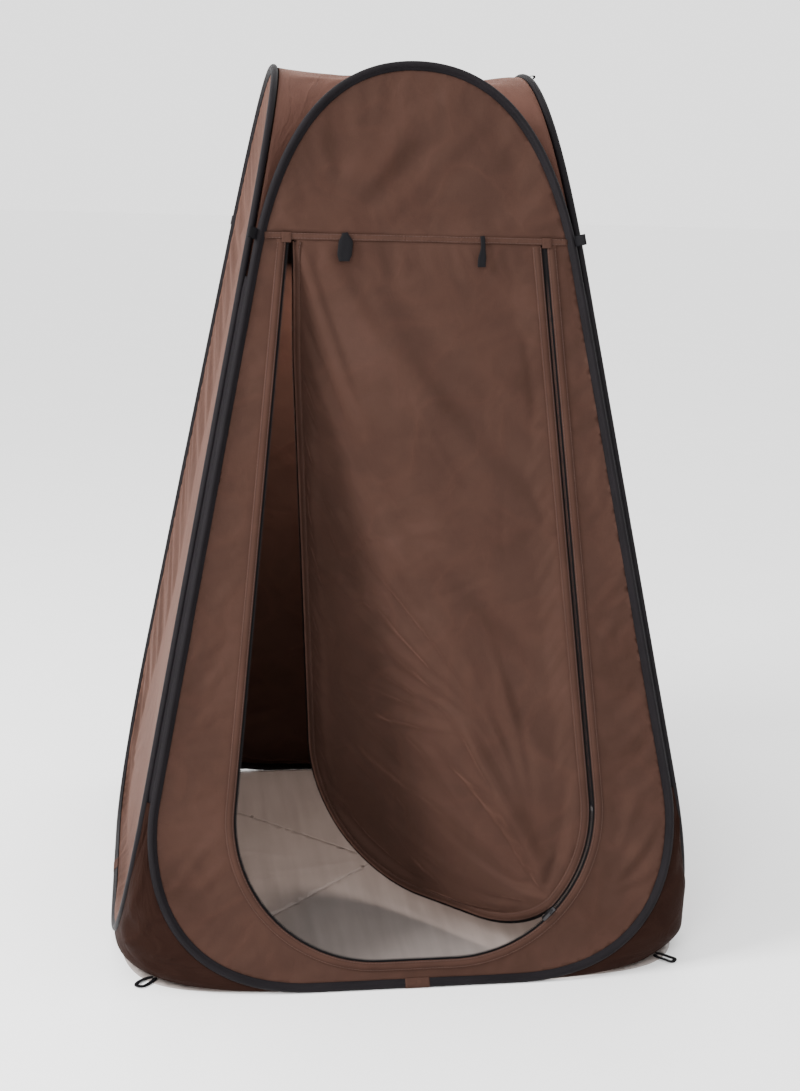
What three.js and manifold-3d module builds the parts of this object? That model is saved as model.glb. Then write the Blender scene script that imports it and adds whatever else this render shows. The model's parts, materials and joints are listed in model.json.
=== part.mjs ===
// A pop-up privacy shower tent: four leaning walls, each held open by its own closed spring-steel
// hoop in a fabric sleeve, joined along the four corners, with a roof of four gores, a floor of four
// gores and a zipped front door that is pushed inwards.
//
// Millimetres, +Z up. The tent stands on Z = 0, centred on the Z axis, and its door faces -Y.
// Every wall is built in its own flat frame: x runs along the wall, y up its slope, z outwards.

import * as THREE from 'three';
import { mergeVertices } from 'three/addons/utils/BufferGeometryUtils.js';
import Module from 'manifold-3d';

// ---- driving dimensions ----
const overallHeight = 1900;
const footHalfWidth = 640;     // from the middle axis to the foot of each wall's plane
const wallSlope = 0.1905;      // inward lean of a wall, run over rise
const cornerFlatHalf = 213;    // half of the straight bottom run of a hoop
const cornerReach = 350;       // how far the bottom corner's curve keeps to the ground
const cornerEndShare = 0.29;   // share of that reach along the flank at the curve's other end
const flankFoot = 400;         // height where the straight flank starts
const flankTop = 1486;         // height where the arch starts
const archLift = 207;          // how far the arch keeps to the flank's direction
const archCrown = 212;         // how far the arch keeps level beside its crown

const sleeveRadius = 8;
const sleeveBore = 6.2;
const sleeveMouth = 20;        // half of the gap where the hoop is threaded in
const wireRadius = 2.2;
const ferruleRadius = 4.4;
const ferruleBore = 3;
const ferruleHalf = 18;
const gap = 0.4;
const hingeOffset = sleeveRadius + gap;   // hinge axis to wall plane, and to the sleeve beside it

const clothThickness = 1.6;
const transomFoot = 1563;      // up the slope
const transomHeight = 14;
const transomThickness = 5;

const doorTopHalf = 267;       // half-width of the door opening under the transom
const doorWidestHalf = 378;
const doorCornerRadius = 300;
const doorFoot = 64;
const doorPush = THREE.MathUtils.degToRad(52);   // how far the loose half is pushed inwards
const doorHingeClearance = 1.5;
const doorHeadGap = 1.6;       // between the transom and the door's head

const zipGap = 2;              // from the line of the zip to each row of teeth
const tapeWidth = 8;
const tapeThickness = 2.4;
const sliderAngle = THREE.MathUtils.degToRad(-45);  // on the opening's lower right arc

const roofCrown = 1892;        // middle of the roof
const roofFall = 1.5;          // power by which the roof falls from its middle to the arches
const roofTipHalf = 60;        // half-width of a roof gore's cut tip
const roofTipStand = 64;       // from the middle axis to that tip
const floorFootHalf = footHalfWidth - 9;
const floorCornerStart = 240;
const floorCornerReach = 340;

// ---- values that follow from them ----
const lean = Math.atan(wallSlope);
const hoopFoot = sleeveRadius;
const hoopCrown = overallHeight / Math.cos(lean) - sleeveRadius;
const sleeveInset = hingeOffset * (Math.cos(lean) + Math.hypot(1, Math.sin(lean)));
const zipTaper = (doorWidestHalf - doorTopHalf) / (transomFoot - doorFoot - doorCornerRadius);
const zipLean = Math.atan(zipTaper);
const arcCentre = new THREE.Vector2(doorWidestHalf - doorCornerRadius, doorFoot + doorCornerRadius);
const panelInset = sleeveRadius + gap;
const cutDepth = 100;          // a cutter's depth, more than any piece of a wall's

const wasm = await Module();
wasm.setup();

// ---- finishes ----
function finish(colour, roughness, metalness = 0) {
  return new THREE.MeshStandardMaterial({ color: colour, roughness, metalness });
}
const brownCloth = () => finish(0x5a4038, 0.72);
const darkCloth = () => finish(0x3a2620, 0.75);
const blackBinding = () => finish(0x1c161a, 0.6);
const floorSheet = () => finish(0x968c87, 0.5);
const springSteel = () => finish(0x9a9ea3, 0.35, 1);
const blackZip = () => finish(0x151214, 0.5);
const zipMetal = () => finish(0x2a282a, 0.4, 0.6);

// ---- solids: joining and cutting ----
function toSolid(geometry) {
  const bare = geometry.clone();
  bare.deleteAttribute('normal');
  bare.deleteAttribute('uv');
  const welded = mergeVertices(bare, 1e-3);
  return new wasm.Manifold(new wasm.Mesh({
    numProp: 3,
    vertProperties: new Float32Array(welded.attributes.position.array),
    triVerts: new Uint32Array(welded.index.array),
  }));
}

function toGeometry(solid) {
  const { vertProperties, triVerts } = solid.getMesh();
  const geometry = new THREE.BufferGeometry();
  geometry.setAttribute('position', new THREE.BufferAttribute(vertProperties, 3));
  geometry.setIndex(new THREE.BufferAttribute(triVerts, 1));
  geometry.computeVertexNormals();
  return geometry;
}

function named(name, geometry, material) {
  const mesh = new THREE.Mesh(geometry, material);
  mesh.name = name;
  return mesh;
}

function slab(points, thickness, holes = []) {
  const shape = new THREE.Shape(points);
  holes.forEach((hole) => shape.holes.push(new THREE.Path(hole)));
  const geometry = new THREE.ExtrudeGeometry(shape, { depth: thickness, bevelEnabled: false });
  return geometry.translate(0, 0, -thickness / 2);
}

const toVectors = (list) => list.map(([x, y]) => new THREE.Vector2(x, y));

function block(width, height, depth, x, y, z) {
  return new THREE.BoxGeometry(width, height, depth).translate(x, y, z);
}

// ---- the hoop's line in its wall's frame ----
const flankAt = (slope) => footHalfWidth - sleeveInset - slope * Math.sin(lean);
const upSlope = (height) => height / Math.cos(lean);

function flankPoint(height) {
  const slope = upSlope(height);
  return new THREE.Vector2(flankAt(slope), slope);
}

// Right half of the hoop, from the middle of the foot to the crown.
function halfHoop() {
  const footEnd = new THREE.Vector2(cornerFlatHalf, hoopFoot);
  const cornerEnd = flankPoint(flankFoot);
  const archStart = flankPoint(flankTop);
  const crown = new THREE.Vector2(0, hoopCrown);
  const corner = new THREE.CubicBezierCurve(
    footEnd,
    new THREE.Vector2(cornerFlatHalf + cornerReach, hoopFoot),
    flankPoint(flankFoot - cornerReach * cornerEndShare),
    cornerEnd,
  );
  const arch = new THREE.CubicBezierCurve(
    archStart,
    flankPoint(flankTop + archLift),
    new THREE.Vector2(archCrown, hoopCrown),
    crown,
  );
  return {
    cornerCurve: corner,
    corner: corner.getPoints(9),
    flank: [cornerEnd, flankPoint((flankFoot + flankTop) / 2), archStart],
    archCurve: arch,
    arch: arch.getPoints(10),
  };
}

const mirrored = (points) => points.map((p) => new THREE.Vector2(-p.x, p.y)).reverse();

// The whole line, from mouth to mouth, anticlockwise.
function hoopLine(mouth) {
  const half = halfHoop();
  const right = [
    new THREE.Vector2(mouth, hoopFoot),
    ...half.corner,
    half.flank[1],
    ...half.arch,
  ];
  return [...right, ...mirrored(right).slice(1)];
}

class HoopPath extends THREE.Curve {
  constructor(points) {
    super();
    this.points = points;
  }

  getPoint(t, target = new THREE.Vector3()) {
    const place = t * (this.points.length - 1);
    const index = Math.min(Math.floor(place), this.points.length - 2);
    const a = this.points[index];
    const b = this.points[index + 1];
    const share = place - index;
    return target.set(a.x + (b.x - a.x) * share, a.y + (b.y - a.y) * share, 0);
  }

  getPointAt(u, target) {
    return this.getPoint(u, target);
  }

  getTangentAt(u, target) {
    return this.getTangent(u, target);
  }
}

function ring(radius, sides) {
  return Array.from({ length: sides }, (_, i) => {
    const angle = (i / sides) * 2 * Math.PI;
    return new THREE.Vector2(radius * Math.cos(angle), radius * Math.sin(angle));
  });
}

function sweep(points, section, hole) {
  const shape = new THREE.Shape(section);
  if (hole) shape.holes.push(new THREE.Path(hole));
  return new THREE.ExtrudeGeometry(shape, {
    steps: points.length - 1,
    extrudePath: new HoopPath(points),
    bevelEnabled: false,
  });
}

// A closed outline moved inwards by one distance.
function inset(points, distance) {
  const count = points.length;
  return points.map((point, i) => {
    const before = point.clone().sub(points[(i + count - 1) % count]).normalize();
    const after = points[(i + 1) % count].clone().sub(point).normalize();
    const inwards = new THREE.Vector2(-before.y - after.y, before.x + after.x).normalize();
    const spread = inwards.dot(new THREE.Vector2(-after.y, after.x));
    return point.clone().addScaledVector(inwards, distance / spread);
  });
}

const wallOutline = inset(hoopLine(0).slice(1), panelInset);

// ---- the door opening's line, grown outwards by a distance ----
function openingLine(grow, top = transomFoot) {
  const radius = doorCornerRadius + grow;
  const topHalf = doorTopHalf + grow / Math.cos(zipLean) + (transomFoot - top) * zipTaper;
  const arcSteps = 18;
  const right = [new THREE.Vector2(topHalf, top)];
  for (let i = 0; i <= arcSteps; i += 1) {
    const angle = zipLean - (i / arcSteps) * (Math.PI / 2 + zipLean);
    right.push(new THREE.Vector2(
      arcCentre.x + radius * Math.cos(angle),
      arcCentre.y + radius * Math.sin(angle),
    ));
  }
  return [...right, ...mirrored(right)].reverse();
}

// A band along the opening between two distances from its line, open at the top.
function openingBand(inner, outer, top, thickness) {
  const outline = [...openingLine(outer, top), ...openingLine(inner, top).reverse()];
  return slab(outline, thickness);
}

// The loose half of the door turns about a line from the zip's slider to the door's top left corner.
const hingeFoot = new THREE.Vector2(
  arcCentre.x + doorCornerRadius * Math.cos(sliderAngle),
  arcCentre.y + doorCornerRadius * Math.sin(sliderAngle),
);
const hingeHeadInset = 15;      // keeps the hinge line's head clear of the door's own zip tape
const hingeHead = new THREE.Vector2(-doorTopHalf + hingeHeadInset, transomFoot);
const hingeTurn = Math.atan2(hingeHead.y - hingeFoot.y, hingeHead.x - hingeFoot.x);

// Everything on one side of the door's hinge line: 1 is the loose side, -1 the fixed side.
function besideHinge(side, distance) {
  const size = 4000;
  return new THREE.BoxGeometry(size, size, cutDepth)
    .translate(0, side * (size / 2 + distance), 0)
    .rotateZ(hingeTurn)
    .translate(hingeFoot.x, hingeFoot.y, 0);
}

function pushInwards(geometry) {
  const axis = new THREE.Vector3(Math.cos(hingeTurn), Math.sin(hingeTurn), 0);
  const turn = new THREE.Matrix4().makeRotationAxis(axis, -doorPush);
  return geometry
    .translate(-hingeFoot.x, -hingeFoot.y, 0)
    .applyMatrix4(turn)
    .translate(hingeFoot.x, hingeFoot.y, 0);
}

// ---- groups that put a piece in its wall ----
function sideGroup(quarterTurns) {
  const group = new THREE.Group();
  group.rotation.z = -quarterTurns * Math.PI / 2;
  return group;
}

function wallGroup() {
  const group = new THREE.Group();
  group.position.y = -footHalfWidth;
  group.rotation.x = Math.PI / 2 - lean;
  return group;
}

// ---- sub-parts ----
function hoop(side) {
  return named(`${side}_hoop`, sweep(hoopLine(1), ring(wireRadius, 4)), springSteel());
}

function ferrule(side) {
  const geometry = new THREE.ExtrudeGeometry(tubeSection(ferruleRadius, ferruleBore), {
    depth: 2 * ferruleHalf, bevelEnabled: false,
  });
  geometry.translate(0, 0, -ferruleHalf).rotateY(Math.PI / 2).translate(0, hoopFoot, 0);
  return named(`${side}_ferrule`, geometry, springSteel());
}

function tubeSection(outer, inner) {
  const shape = new THREE.Shape(ring(outer, 8));
  shape.holes.push(new THREE.Path(ring(inner, 8)));
  return shape;
}

function sleeve(side) {
  const geometry = sweep(hoopLine(sleeveMouth), ring(sleeveRadius, 8), ring(sleeveBore, 4));
  return named(`${side}_sleeve`, geometry, blackBinding());
}

function sleevePatch(side) {
  const half = sleeveMouth - gap;
  const geometry = new THREE.ExtrudeGeometry(tubeSection(sleeveRadius, sleeveBore), {
    depth: 2 * half, bevelEnabled: false,
  });
  geometry.translate(0, 0, -half).rotateY(Math.PI / 2).translate(0, hoopFoot, 0);
  return named(`${side}_sleeve_patch`, geometry, brownCloth());
}

function fullPanel(side) {
  return named(`${side}_panel`, slab(wallOutline, clothThickness), brownCloth());
}

function wallBetween(foot, head, thickness) {
  const band = block(2 * footHalfWidth, head - foot, cutDepth, 0, (foot + head) / 2, 0);
  return toSolid(slab(wallOutline, thickness)).intersect(toSolid(band));
}

function archPanel() {
  const solid = wallBetween(transomFoot + transomHeight + gap, 2 * overallHeight, clothThickness);
  return named('front_arch_panel', toGeometry(solid), brownCloth());
}

function transomTape() {
  const solid = wallBetween(transomFoot, transomFoot + transomHeight, transomThickness);
  return named('transom_tape', toGeometry(solid), darkCloth());
}

function skirtPanel() {
  const edge = zipGap + tapeWidth + gap;
  const hole = toSolid(slab(openingLine(edge, transomFoot + transomHeight), cutDepth));
  const solid = wallBetween(-10, transomFoot - gap, clothThickness).subtract(hole);
  return named('front_skirt_panel', toGeometry(solid), brownCloth());
}

function doorSheet() {
  return toSolid(slab(openingLine(-zipGap - tapeWidth - gap, transomFoot - doorHeadGap), clothThickness));
}

function doorUpper() {
  const solid = doorSheet().intersect(toSolid(besideHinge(-1, doorHingeClearance)));
  return named('door_upper', toGeometry(solid), brownCloth());
}

function doorFlap() {
  const solid = doorSheet().intersect(toSolid(besideHinge(1, doorHingeClearance)));
  return named('door_flap', pushInwards(toGeometry(solid)), brownCloth());
}

const zipTop = transomFoot - 4;

function zipFrameTape() {
  const geometry = openingBand(zipGap, zipGap + tapeWidth, zipTop, tapeThickness);
  return named('zip_frame_tape', geometry, blackZip());
}

function doorTape() {
  return toSolid(openingBand(-zipGap - tapeWidth, -zipGap, zipTop, tapeThickness));
}

function zipDoorTapeFixed() {
  const solid = doorTape().intersect(toSolid(besideHinge(-1, doorHingeClearance)));
  return named('zip_door_tape_fixed', toGeometry(solid), blackZip());
}

function zipDoorTapeFree() {
  const clearOfSlider = 30;    // leaves room for the inner pull to swing
  const around = 260;
  const nearSlider = toSolid(block(around, around, cutDepth, hingeFoot.x, hingeFoot.y, 0));
  const solid = doorTape()
    .intersect(toSolid(besideHinge(1, doorHingeClearance)))
    .subtract(nearSlider.subtract(toSolid(besideHinge(1, clearOfSlider))));
  return named('zip_door_tape_free', pushInwards(toGeometry(solid)), blackZip());
}

// The slider and its two pulls are drawn with +x along the zip, then turned onto its arc.
function ontoZip(geometry) {
  return geometry.rotateZ(sliderAngle + Math.PI / 2).translate(hingeFoot.x, hingeFoot.y, 0);
}

const sliderLength = 16;
const sliderWidth = 9;
const plateNear = 1.6;         // faces of a slider plate, from the wall's plane
const plateFar = 3.4;
const neckWidth = 2.2;
const bailTop = 8;
const bailWall = 1.2;
const bailHalf = 3.5;
const bailWidth = 1.6;
const pullAxis = 5.5;

function sliderSolid() {
  const section = new THREE.Shape(toVectors([
    [-sliderWidth / 2, plateNear], [-neckWidth / 2, plateNear], [-neckWidth / 2, -plateNear],
    [-sliderWidth / 2, -plateNear], [-sliderWidth / 2, -plateFar], [sliderWidth / 2, -plateFar],
    [sliderWidth / 2, -plateNear], [neckWidth / 2, -plateNear], [neckWidth / 2, plateNear],
    [sliderWidth / 2, plateNear], [sliderWidth / 2, plateFar], [-sliderWidth / 2, plateFar],
  ]));
  const body = new THREE.ExtrudeGeometry(section, { depth: sliderLength, bevelEnabled: false });
  body.translate(0, 0, -sliderLength / 2).applyMatrix4(sliderBasis());
  return toSolid(body).add(toSolid(bail(0))).add(toSolid(bail(Math.PI)));
}

// Section x across the zip, section y outwards, depth along the zip.
function sliderBasis() {
  return new THREE.Matrix4().makeBasis(
    new THREE.Vector3(0, 1, 0),
    new THREE.Vector3(0, 0, 1),
    new THREE.Vector3(1, 0, 0),
  );
}

function bail(turn) {
  const foot = plateFar - 0.2;
  const inside = bailHalf - bailWall;
  const outline = [[-bailHalf, foot], [bailHalf, foot], [bailHalf, bailTop], [-bailHalf, bailTop]];
  const window = [
    [-inside, plateFar + 0.3], [inside, plateFar + 0.3],
    [inside, bailTop - bailWall], [-inside, bailTop - bailWall],
  ];
  return slab(toVectors(outline), bailWidth, [toVectors(window)]).rotateX(Math.PI / 2 + turn);
}

function zipSlider() {
  return named('zip_slider', ontoZip(toGeometry(sliderSolid())), zipMetal());
}

function zipPull(name, face) {
  const half = 3.4;
  const barHalf = 0.7;
  const tip = -26;
  const eyeHalf = 1.7;
  const eyeEnd = -6.5;
  const thickness = 1.2;
  const outline = new THREE.Shape();
  outline.moveTo(barHalf, -half);
  outline.lineTo(barHalf, half);
  outline.lineTo(tip + half, half);
  outline.absarc(tip + half, 0, half, Math.PI / 2, 1.5 * Math.PI, false);
  outline.lineTo(barHalf, -half);
  const eye = [[-barHalf, -eyeHalf], [eyeEnd, -eyeHalf], [eyeEnd, eyeHalf], [-barHalf, eyeHalf]];
  outline.holes.push(new THREE.Path(toVectors(eye)));
  const geometry = new THREE.ExtrudeGeometry(outline, {
    depth: thickness, bevelEnabled: false, curveSegments: 8,
  });
  geometry.translate(0, 0, face * pullAxis - thickness / 2);
  return named(name, ontoZip(geometry), zipMetal());
}

const patchThickness = 1.4;

// A patch covers the top end of the zip, half on the transom.
function zipEndPatch(name, side) {
  const width = 20;
  const height = 22;
  const x = side * (doorTopHalf + zipGap + tapeWidth / 2);
  const z = transomThickness / 2 + gap + patchThickness / 2;
  const geometry = block(width, height, patchThickness, x, transomFoot + 3, z);
  return named(name, geometry, darkCloth());
}

function rollTie(name, x, width, length, slot) {
  const face = transomThickness / 2 + gap + patchThickness;
  const thickness = 1.8;
  const head = transomFoot + transomHeight;
  const half = width / 2;
  const round = Math.min(half, 8);
  const slotAt = 0.62;         // shares of the tie's length and half-width
  const slotLength = 0.2;
  const slotWidth = 0.5;
  const shape = new THREE.Shape();
  shape.moveTo(-half, head);
  shape.lineTo(-half, head - length + round);
  shape.absarc(-half + round, head - length + round, round, Math.PI, 1.5 * Math.PI, false);
  shape.absarc(half - round, head - length + round, round, -Math.PI / 2, 0, false);
  shape.lineTo(half, head);
  if (slot) {
    const opening = new THREE.Path();
    opening.absellipse(
      0, head - length * slotAt, half * slotWidth, length * slotLength, 0, 2 * Math.PI, false, 0);
    shape.holes.push(opening);
  }
  const geometry = new THREE.ExtrudeGeometry(shape, {
    depth: thickness, bevelEnabled: false, curveSegments: 6,
  });
  return named(name, geometry.translate(x, 0, face), blackBinding());
}

const loopReach = 12;          // half of a flattened loop, away from its sleeve and across
const loopHalf = 7.5;
const loopWall = 2.4;
const guyTabWidth = 22;
const guyTabSlope = transomFoot + 10;
const hangLoopWidth = 20;
const hangLoopDrop = 5;        // below the line of the hoop's crown

// A folded webbing loop: a long ring seen from its end, its width along y and its length turned
// from x towards z.
function webbingLoop(name, width, turn) {
  const outer = new THREE.Shape();
  outer.absellipse(0, 0, loopReach, loopHalf, 0, 2 * Math.PI, false, turn);
  const eye = new THREE.Path();
  eye.absellipse(0, 0, loopReach - loopWall, loopHalf - loopWall, 0, 2 * Math.PI, false, turn);
  outer.holes.push(eye);
  const geometry = new THREE.ExtrudeGeometry(outer, {
    depth: width, bevelEnabled: false, curveSegments: 12,
  });
  return named(name, geometry.translate(0, 0, -width / 2).rotateX(Math.PI / 2), blackBinding());
}

// A guy tab stands off its sleeve midway between the wall's plane and its outward normal.
function guyTab(name, side) {
  const mesh = webbingLoop(name, guyTabWidth, Math.PI / 2 - side * Math.PI / 4);
  const stand = (sleeveRadius + gap + loopReach) * Math.SQRT1_2;
  mesh.position.set(side * (flankAt(guyTabSlope) + stand), guyTabSlope, stand);
  mesh.rotation.z = side * lean;
  return mesh;
}

function hangLoop() {
  const mesh = webbingLoop('hang_loop', hangLoopWidth, Math.PI / 2);
  mesh.rotation.z = Math.PI / 2;
  mesh.position.set(0, hoopCrown - hangLoopDrop, sleeveRadius + gap + loopReach);
  return mesh;
}

// The seam that joins two sleeves at a corner runs along the hinge axis between the walls.
function cornerSeam(name) {
  const foot = flankFoot + 30;
  const head = flankTop - 46;
  const length = (head - foot) / Math.cos(lean);
  const cordRadius = 2;
  const geometry = new THREE.ExtrudeGeometry(new THREE.Shape(ring(cordRadius, 6)), {
    depth: length, bevelEnabled: false,
  });
  const direction = new THREE.Vector3(wallSlope, wallSlope, 1).normalize();
  const mesh = named(name, geometry, blackBinding());
  mesh.quaternion.setFromUnitVectors(new THREE.Vector3(0, 0, 1), direction);
  const reach = footHalfWidth - hingeOffset / Math.cos(lean) - foot * wallSlope;
  mesh.position.set(-reach, -reach, foot);
  return mesh;
}

// A box's underside is split along the other diagonal from its top, and on a twisted
// sheet those two faces would cross. This turns the underside's triangles to match.
function matchDiagonals(box) {
  const underside = box.groups.at(-1);
  for (let i = underside.start; i < underside.start + underside.count; i += 6) {
    const [a, b, d] = [i, i + 1, i + 2].map((k) => box.index.getX(k));
    const c = box.index.getX(i + 4);
    [a, b, c, a, c, d].forEach((corner, k) => box.index.setX(i + k, corner));
  }
}

// A thin curved sheet: a flat box with one face per cell, bent by a function of two shares.
function curvedSheet(columns, rows, thickness, place) {
  const geometry = new THREE.BoxGeometry(1, 1, 1, columns, rows, 1);
  matchDiagonals(geometry);
  const position = geometry.attributes.position;
  for (let i = 0; i < position.count; i += 1) {
    const across = position.getX(i) + 0.5;
    const along = position.getY(i) + 0.5;
    const point = place(across, along, position.getZ(i) * thickness);
    position.setXYZ(i, point.x, point.y, point.z);
  }
  const welded = mergeVertices(dropSurface(geometry), 1e-3);
  welded.computeVertexNormals();
  return welded;
}

function dropSurface(geometry) {
  geometry.deleteAttribute('normal');
  geometry.deleteAttribute('uv');
  return geometry;
}

const intoSpace = (point) => new THREE.Vector3(
  point.x,
  -footHalfWidth + point.y * Math.sin(lean),
  point.y * Math.cos(lean),
);

// A roof gore hangs from its own arch and falls to the middle of the roof.
function roofGore(side) {
  const rising = halfHoop().archCurve.getPoints(6);
  const falling = rising.reverse();
  const line = [...mirrored(falling), ...falling.slice(1)];
  const stand = sleeveRadius + 2;
  const columns = line.length - 1;
  const rows = 3;
  const place = (across, along, offset) => {
    const edge = intoSpace(line[Math.round(across * columns)]);
    edge.y += stand;
    const middle = new THREE.Vector3(
      (across - 0.5) * 2 * roofTipHalf, -roofTipStand, roofCrown);
    const point = middle.clone().lerp(edge, along);
    point.z = roofCrown + (edge.z - roofCrown) * along ** roofFall - offset;
    return point;
  };
  const geometry = curvedSheet(columns, rows, clothThickness, place);
  return named(`${side}_roof_gore`, geometry, brownCloth());
}

// A floor gore is a quarter of a square with well-rounded corners.
function floorGore(side) {
  const corner = new THREE.CubicBezierCurve(
    new THREE.Vector2(floorCornerStart, -floorFootHalf),
    new THREE.Vector2(floorCornerStart + floorCornerReach, -floorFootHalf),
    new THREE.Vector2(floorFootHalf, -floorCornerStart - floorCornerReach),
    new THREE.Vector2(floorFootHalf, -floorCornerStart),
  );
  const halfCorner = Array.from({ length: 7 }, (_, i) => corner.getPoint(i / 12));
  const tip = new THREE.Vector2(0, 0);
  const outline = [tip, ...mirrored(halfCorner), ...halfCorner];
  const geometry = slab(inset(outline, gap), clothThickness);
  return named(`${side}_floor_gore`, geometry.translate(0, 0, clothThickness / 2), floorSheet());
}

// The line beside a hoop's corner curve, outside its sleeve, from the floor to the flank.
function besideCorner(rows) {
  const curve = halfHoop().cornerCurve;
  const clear = sleeveRadius + 2.5;
  const liftOff = 0.085;       // share of the curve that still lies on the ground
  return Array.from({ length: rows + 1 }, (_, i) => {
    const share = liftOff + (1 - liftOff) * (i / rows);
    const tangent = curve.getTangent(share);
    const outwards = new THREE.Vector2(tangent.y, -tangent.x);
    return curve.getPoint(share).addScaledVector(outwards, clear);
  });
}

// A corner gusset closes the space between two hoops below their joined flanks.
function cornerGusset(name) {
  const columns = 8;
  const rows = 9;
  const line = besideCorner(rows);
  const place = (across, along, offset) => {
    const edge = line[Math.round(along * rows)];
    const front = intoSpace(new THREE.Vector2(-edge.x, edge.y));
    const wall = front.y;
    const a = (1 - across) ** 2;
    const b = 2 * across * (1 - across);
    const c = across ** 2;
    return new THREE.Vector3(
      a * front.x + (b + c) * wall + offset / Math.SQRT2,
      (a + b) * wall + c * front.x + offset / Math.SQRT2,
      front.z,
    );
  };
  return named(name, curvedSheet(columns, rows, clothThickness, place), darkCloth());
}

// A peg loop lies flat outside a corner: its strap, and the slot for the peg.
function pegLoop(name) {
  const half = 15;
  const length = 42;
  const slotHalf = 7;
  const slotStart = 16;
  const slotEnd = 36;
  const thickness = 2;
  const reach = 787;           // from the middle axis to the strap's inner end
  const height = 3;
  const outer = [[-half, 0], [half, 0], [half, length], [-half, length]];
  const slot = [
    [-slotHalf, slotStart], [slotHalf, slotStart], [slotHalf, slotEnd], [-slotHalf, slotEnd],
  ];
  const geometry = slab(toVectors(outer), thickness, [toVectors(slot)]);
  geometry.translate(0, reach, height).rotateZ(0.75 * Math.PI);
  return named(name, geometry, blackBinding());
}

// ---- assembly: a side's own pieces, in its wall's frame and in the tent's ----
function commonSide(side, quarterTurns) {
  const group = sideGroup(quarterTurns);
  const wall = wallGroup();
  wall.add(hoop(side), ferrule(side), sleeve(side), sleevePatch(side));
  group.add(wall, roofGore(side), floorGore(side));
  return { group, wall };
}

function frontSide() {
  const { group, wall } = commonSide('front', 0);
  wall.add(
    archPanel(), transomTape(), skirtPanel(), doorUpper(), doorFlap(),
    zipFrameTape(), zipDoorTapeFixed(), zipDoorTapeFree(),
    zipSlider(), zipPull('zip_pull_outer', 1), zipPull('zip_pull_inner', -1),
    zipEndPatch('zip_end_patch_left', -1), zipEndPatch('zip_end_patch_right', 1),
    rollTie('roll_tie_left', -153, 32, 58, true), rollTie('roll_tie_right', 135, 18, 64, false),
    guyTab('guy_tab_front_left', -1), guyTab('guy_tab_front_right', 1),
  );
  return group;
}

function plainSide(side, quarterTurns) {
  const { group, wall } = commonSide(side, quarterTurns);
  wall.add(fullPanel(side));
  if (side === 'back') wall.add(guyTab('guy_tab_back_left', 1), guyTab('guy_tab_back_right', -1));
  if (side === 'right') wall.add(hangLoop());
  return group;
}

// What stands at the corner to the left of a side, seen from outside it.
function cornerPieces(corner, quarterTurns) {
  const group = sideGroup(quarterTurns);
  group.add(
    cornerGusset(`gusset_${corner}`),
    cornerSeam(`corner_seam_${corner}`),
    pegLoop(`peg_loop_${corner}`),
  );
  return group;
}

const tent = new THREE.Group();
tent.add(frontSide());
['left', 'back', 'right'].forEach((side, i) => tent.add(plainSide(side, i + 1)));
['front_left', 'back_left', 'back_right', 'front_right'].forEach((corner, i) => {
  tent.add(cornerPieces(corner, i));
});

export default tent;
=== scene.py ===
import json
import math
import random

import bpy
import numpy as np
from mathutils import Matrix, Vector, noise
from mathutils.geometry import delaunay_2d_cdt


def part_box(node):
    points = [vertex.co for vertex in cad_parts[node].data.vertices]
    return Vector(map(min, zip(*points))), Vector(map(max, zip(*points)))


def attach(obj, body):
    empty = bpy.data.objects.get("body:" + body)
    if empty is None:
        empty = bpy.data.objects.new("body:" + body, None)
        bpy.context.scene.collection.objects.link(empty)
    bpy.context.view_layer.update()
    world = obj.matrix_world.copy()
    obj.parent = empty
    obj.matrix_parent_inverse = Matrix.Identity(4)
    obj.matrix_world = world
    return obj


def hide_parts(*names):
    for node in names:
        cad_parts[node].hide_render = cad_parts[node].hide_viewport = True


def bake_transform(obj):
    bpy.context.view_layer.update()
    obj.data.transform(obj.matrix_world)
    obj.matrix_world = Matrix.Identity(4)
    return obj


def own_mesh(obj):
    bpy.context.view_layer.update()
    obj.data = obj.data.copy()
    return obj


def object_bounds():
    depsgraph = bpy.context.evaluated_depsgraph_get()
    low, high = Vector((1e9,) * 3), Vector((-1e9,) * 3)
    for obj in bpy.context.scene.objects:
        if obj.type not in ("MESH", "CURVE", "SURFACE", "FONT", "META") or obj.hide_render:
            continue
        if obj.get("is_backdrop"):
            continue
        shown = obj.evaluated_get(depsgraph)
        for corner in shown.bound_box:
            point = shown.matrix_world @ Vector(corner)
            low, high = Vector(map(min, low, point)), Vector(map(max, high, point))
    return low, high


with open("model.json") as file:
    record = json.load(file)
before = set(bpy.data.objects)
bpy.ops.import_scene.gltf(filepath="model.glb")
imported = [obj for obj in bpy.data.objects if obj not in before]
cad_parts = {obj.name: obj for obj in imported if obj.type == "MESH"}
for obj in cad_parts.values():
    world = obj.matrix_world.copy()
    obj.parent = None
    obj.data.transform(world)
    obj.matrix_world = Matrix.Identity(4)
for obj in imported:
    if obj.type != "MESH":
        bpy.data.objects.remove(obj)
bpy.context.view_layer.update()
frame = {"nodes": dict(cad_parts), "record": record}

# metres; the shape that every wall and its hoop share
tent = {
    "height": 1.9, "footHalf": 0.64, "slope": 0.1905,
    "sleeveRadius": 0.008, "hingeOffset": 0.0084,
    "cornerFlat": 0.213, "cornerReach": 0.350, "cornerEndShare": 0.29,
    "flankFoot": 0.400, "flankTop": 1.486,
    "archLift": 0.207, "archCrown": 0.212,
    "roofCrown": 1.892, "roofFall": 1.5, "transom": 1.563,
}
sides = {"front": 0, "left": 1, "back": 2, "right": 3}
lean = math.atan(tent["slope"])
sinLean, cosLean = math.sin(lean), math.cos(lean)
hoopCrown = tent["height"] / cosLean - tent["sleeveRadius"]
flankInset = tent["hingeOffset"] * (cosLean + math.hypot(1, sinLean))


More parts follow.
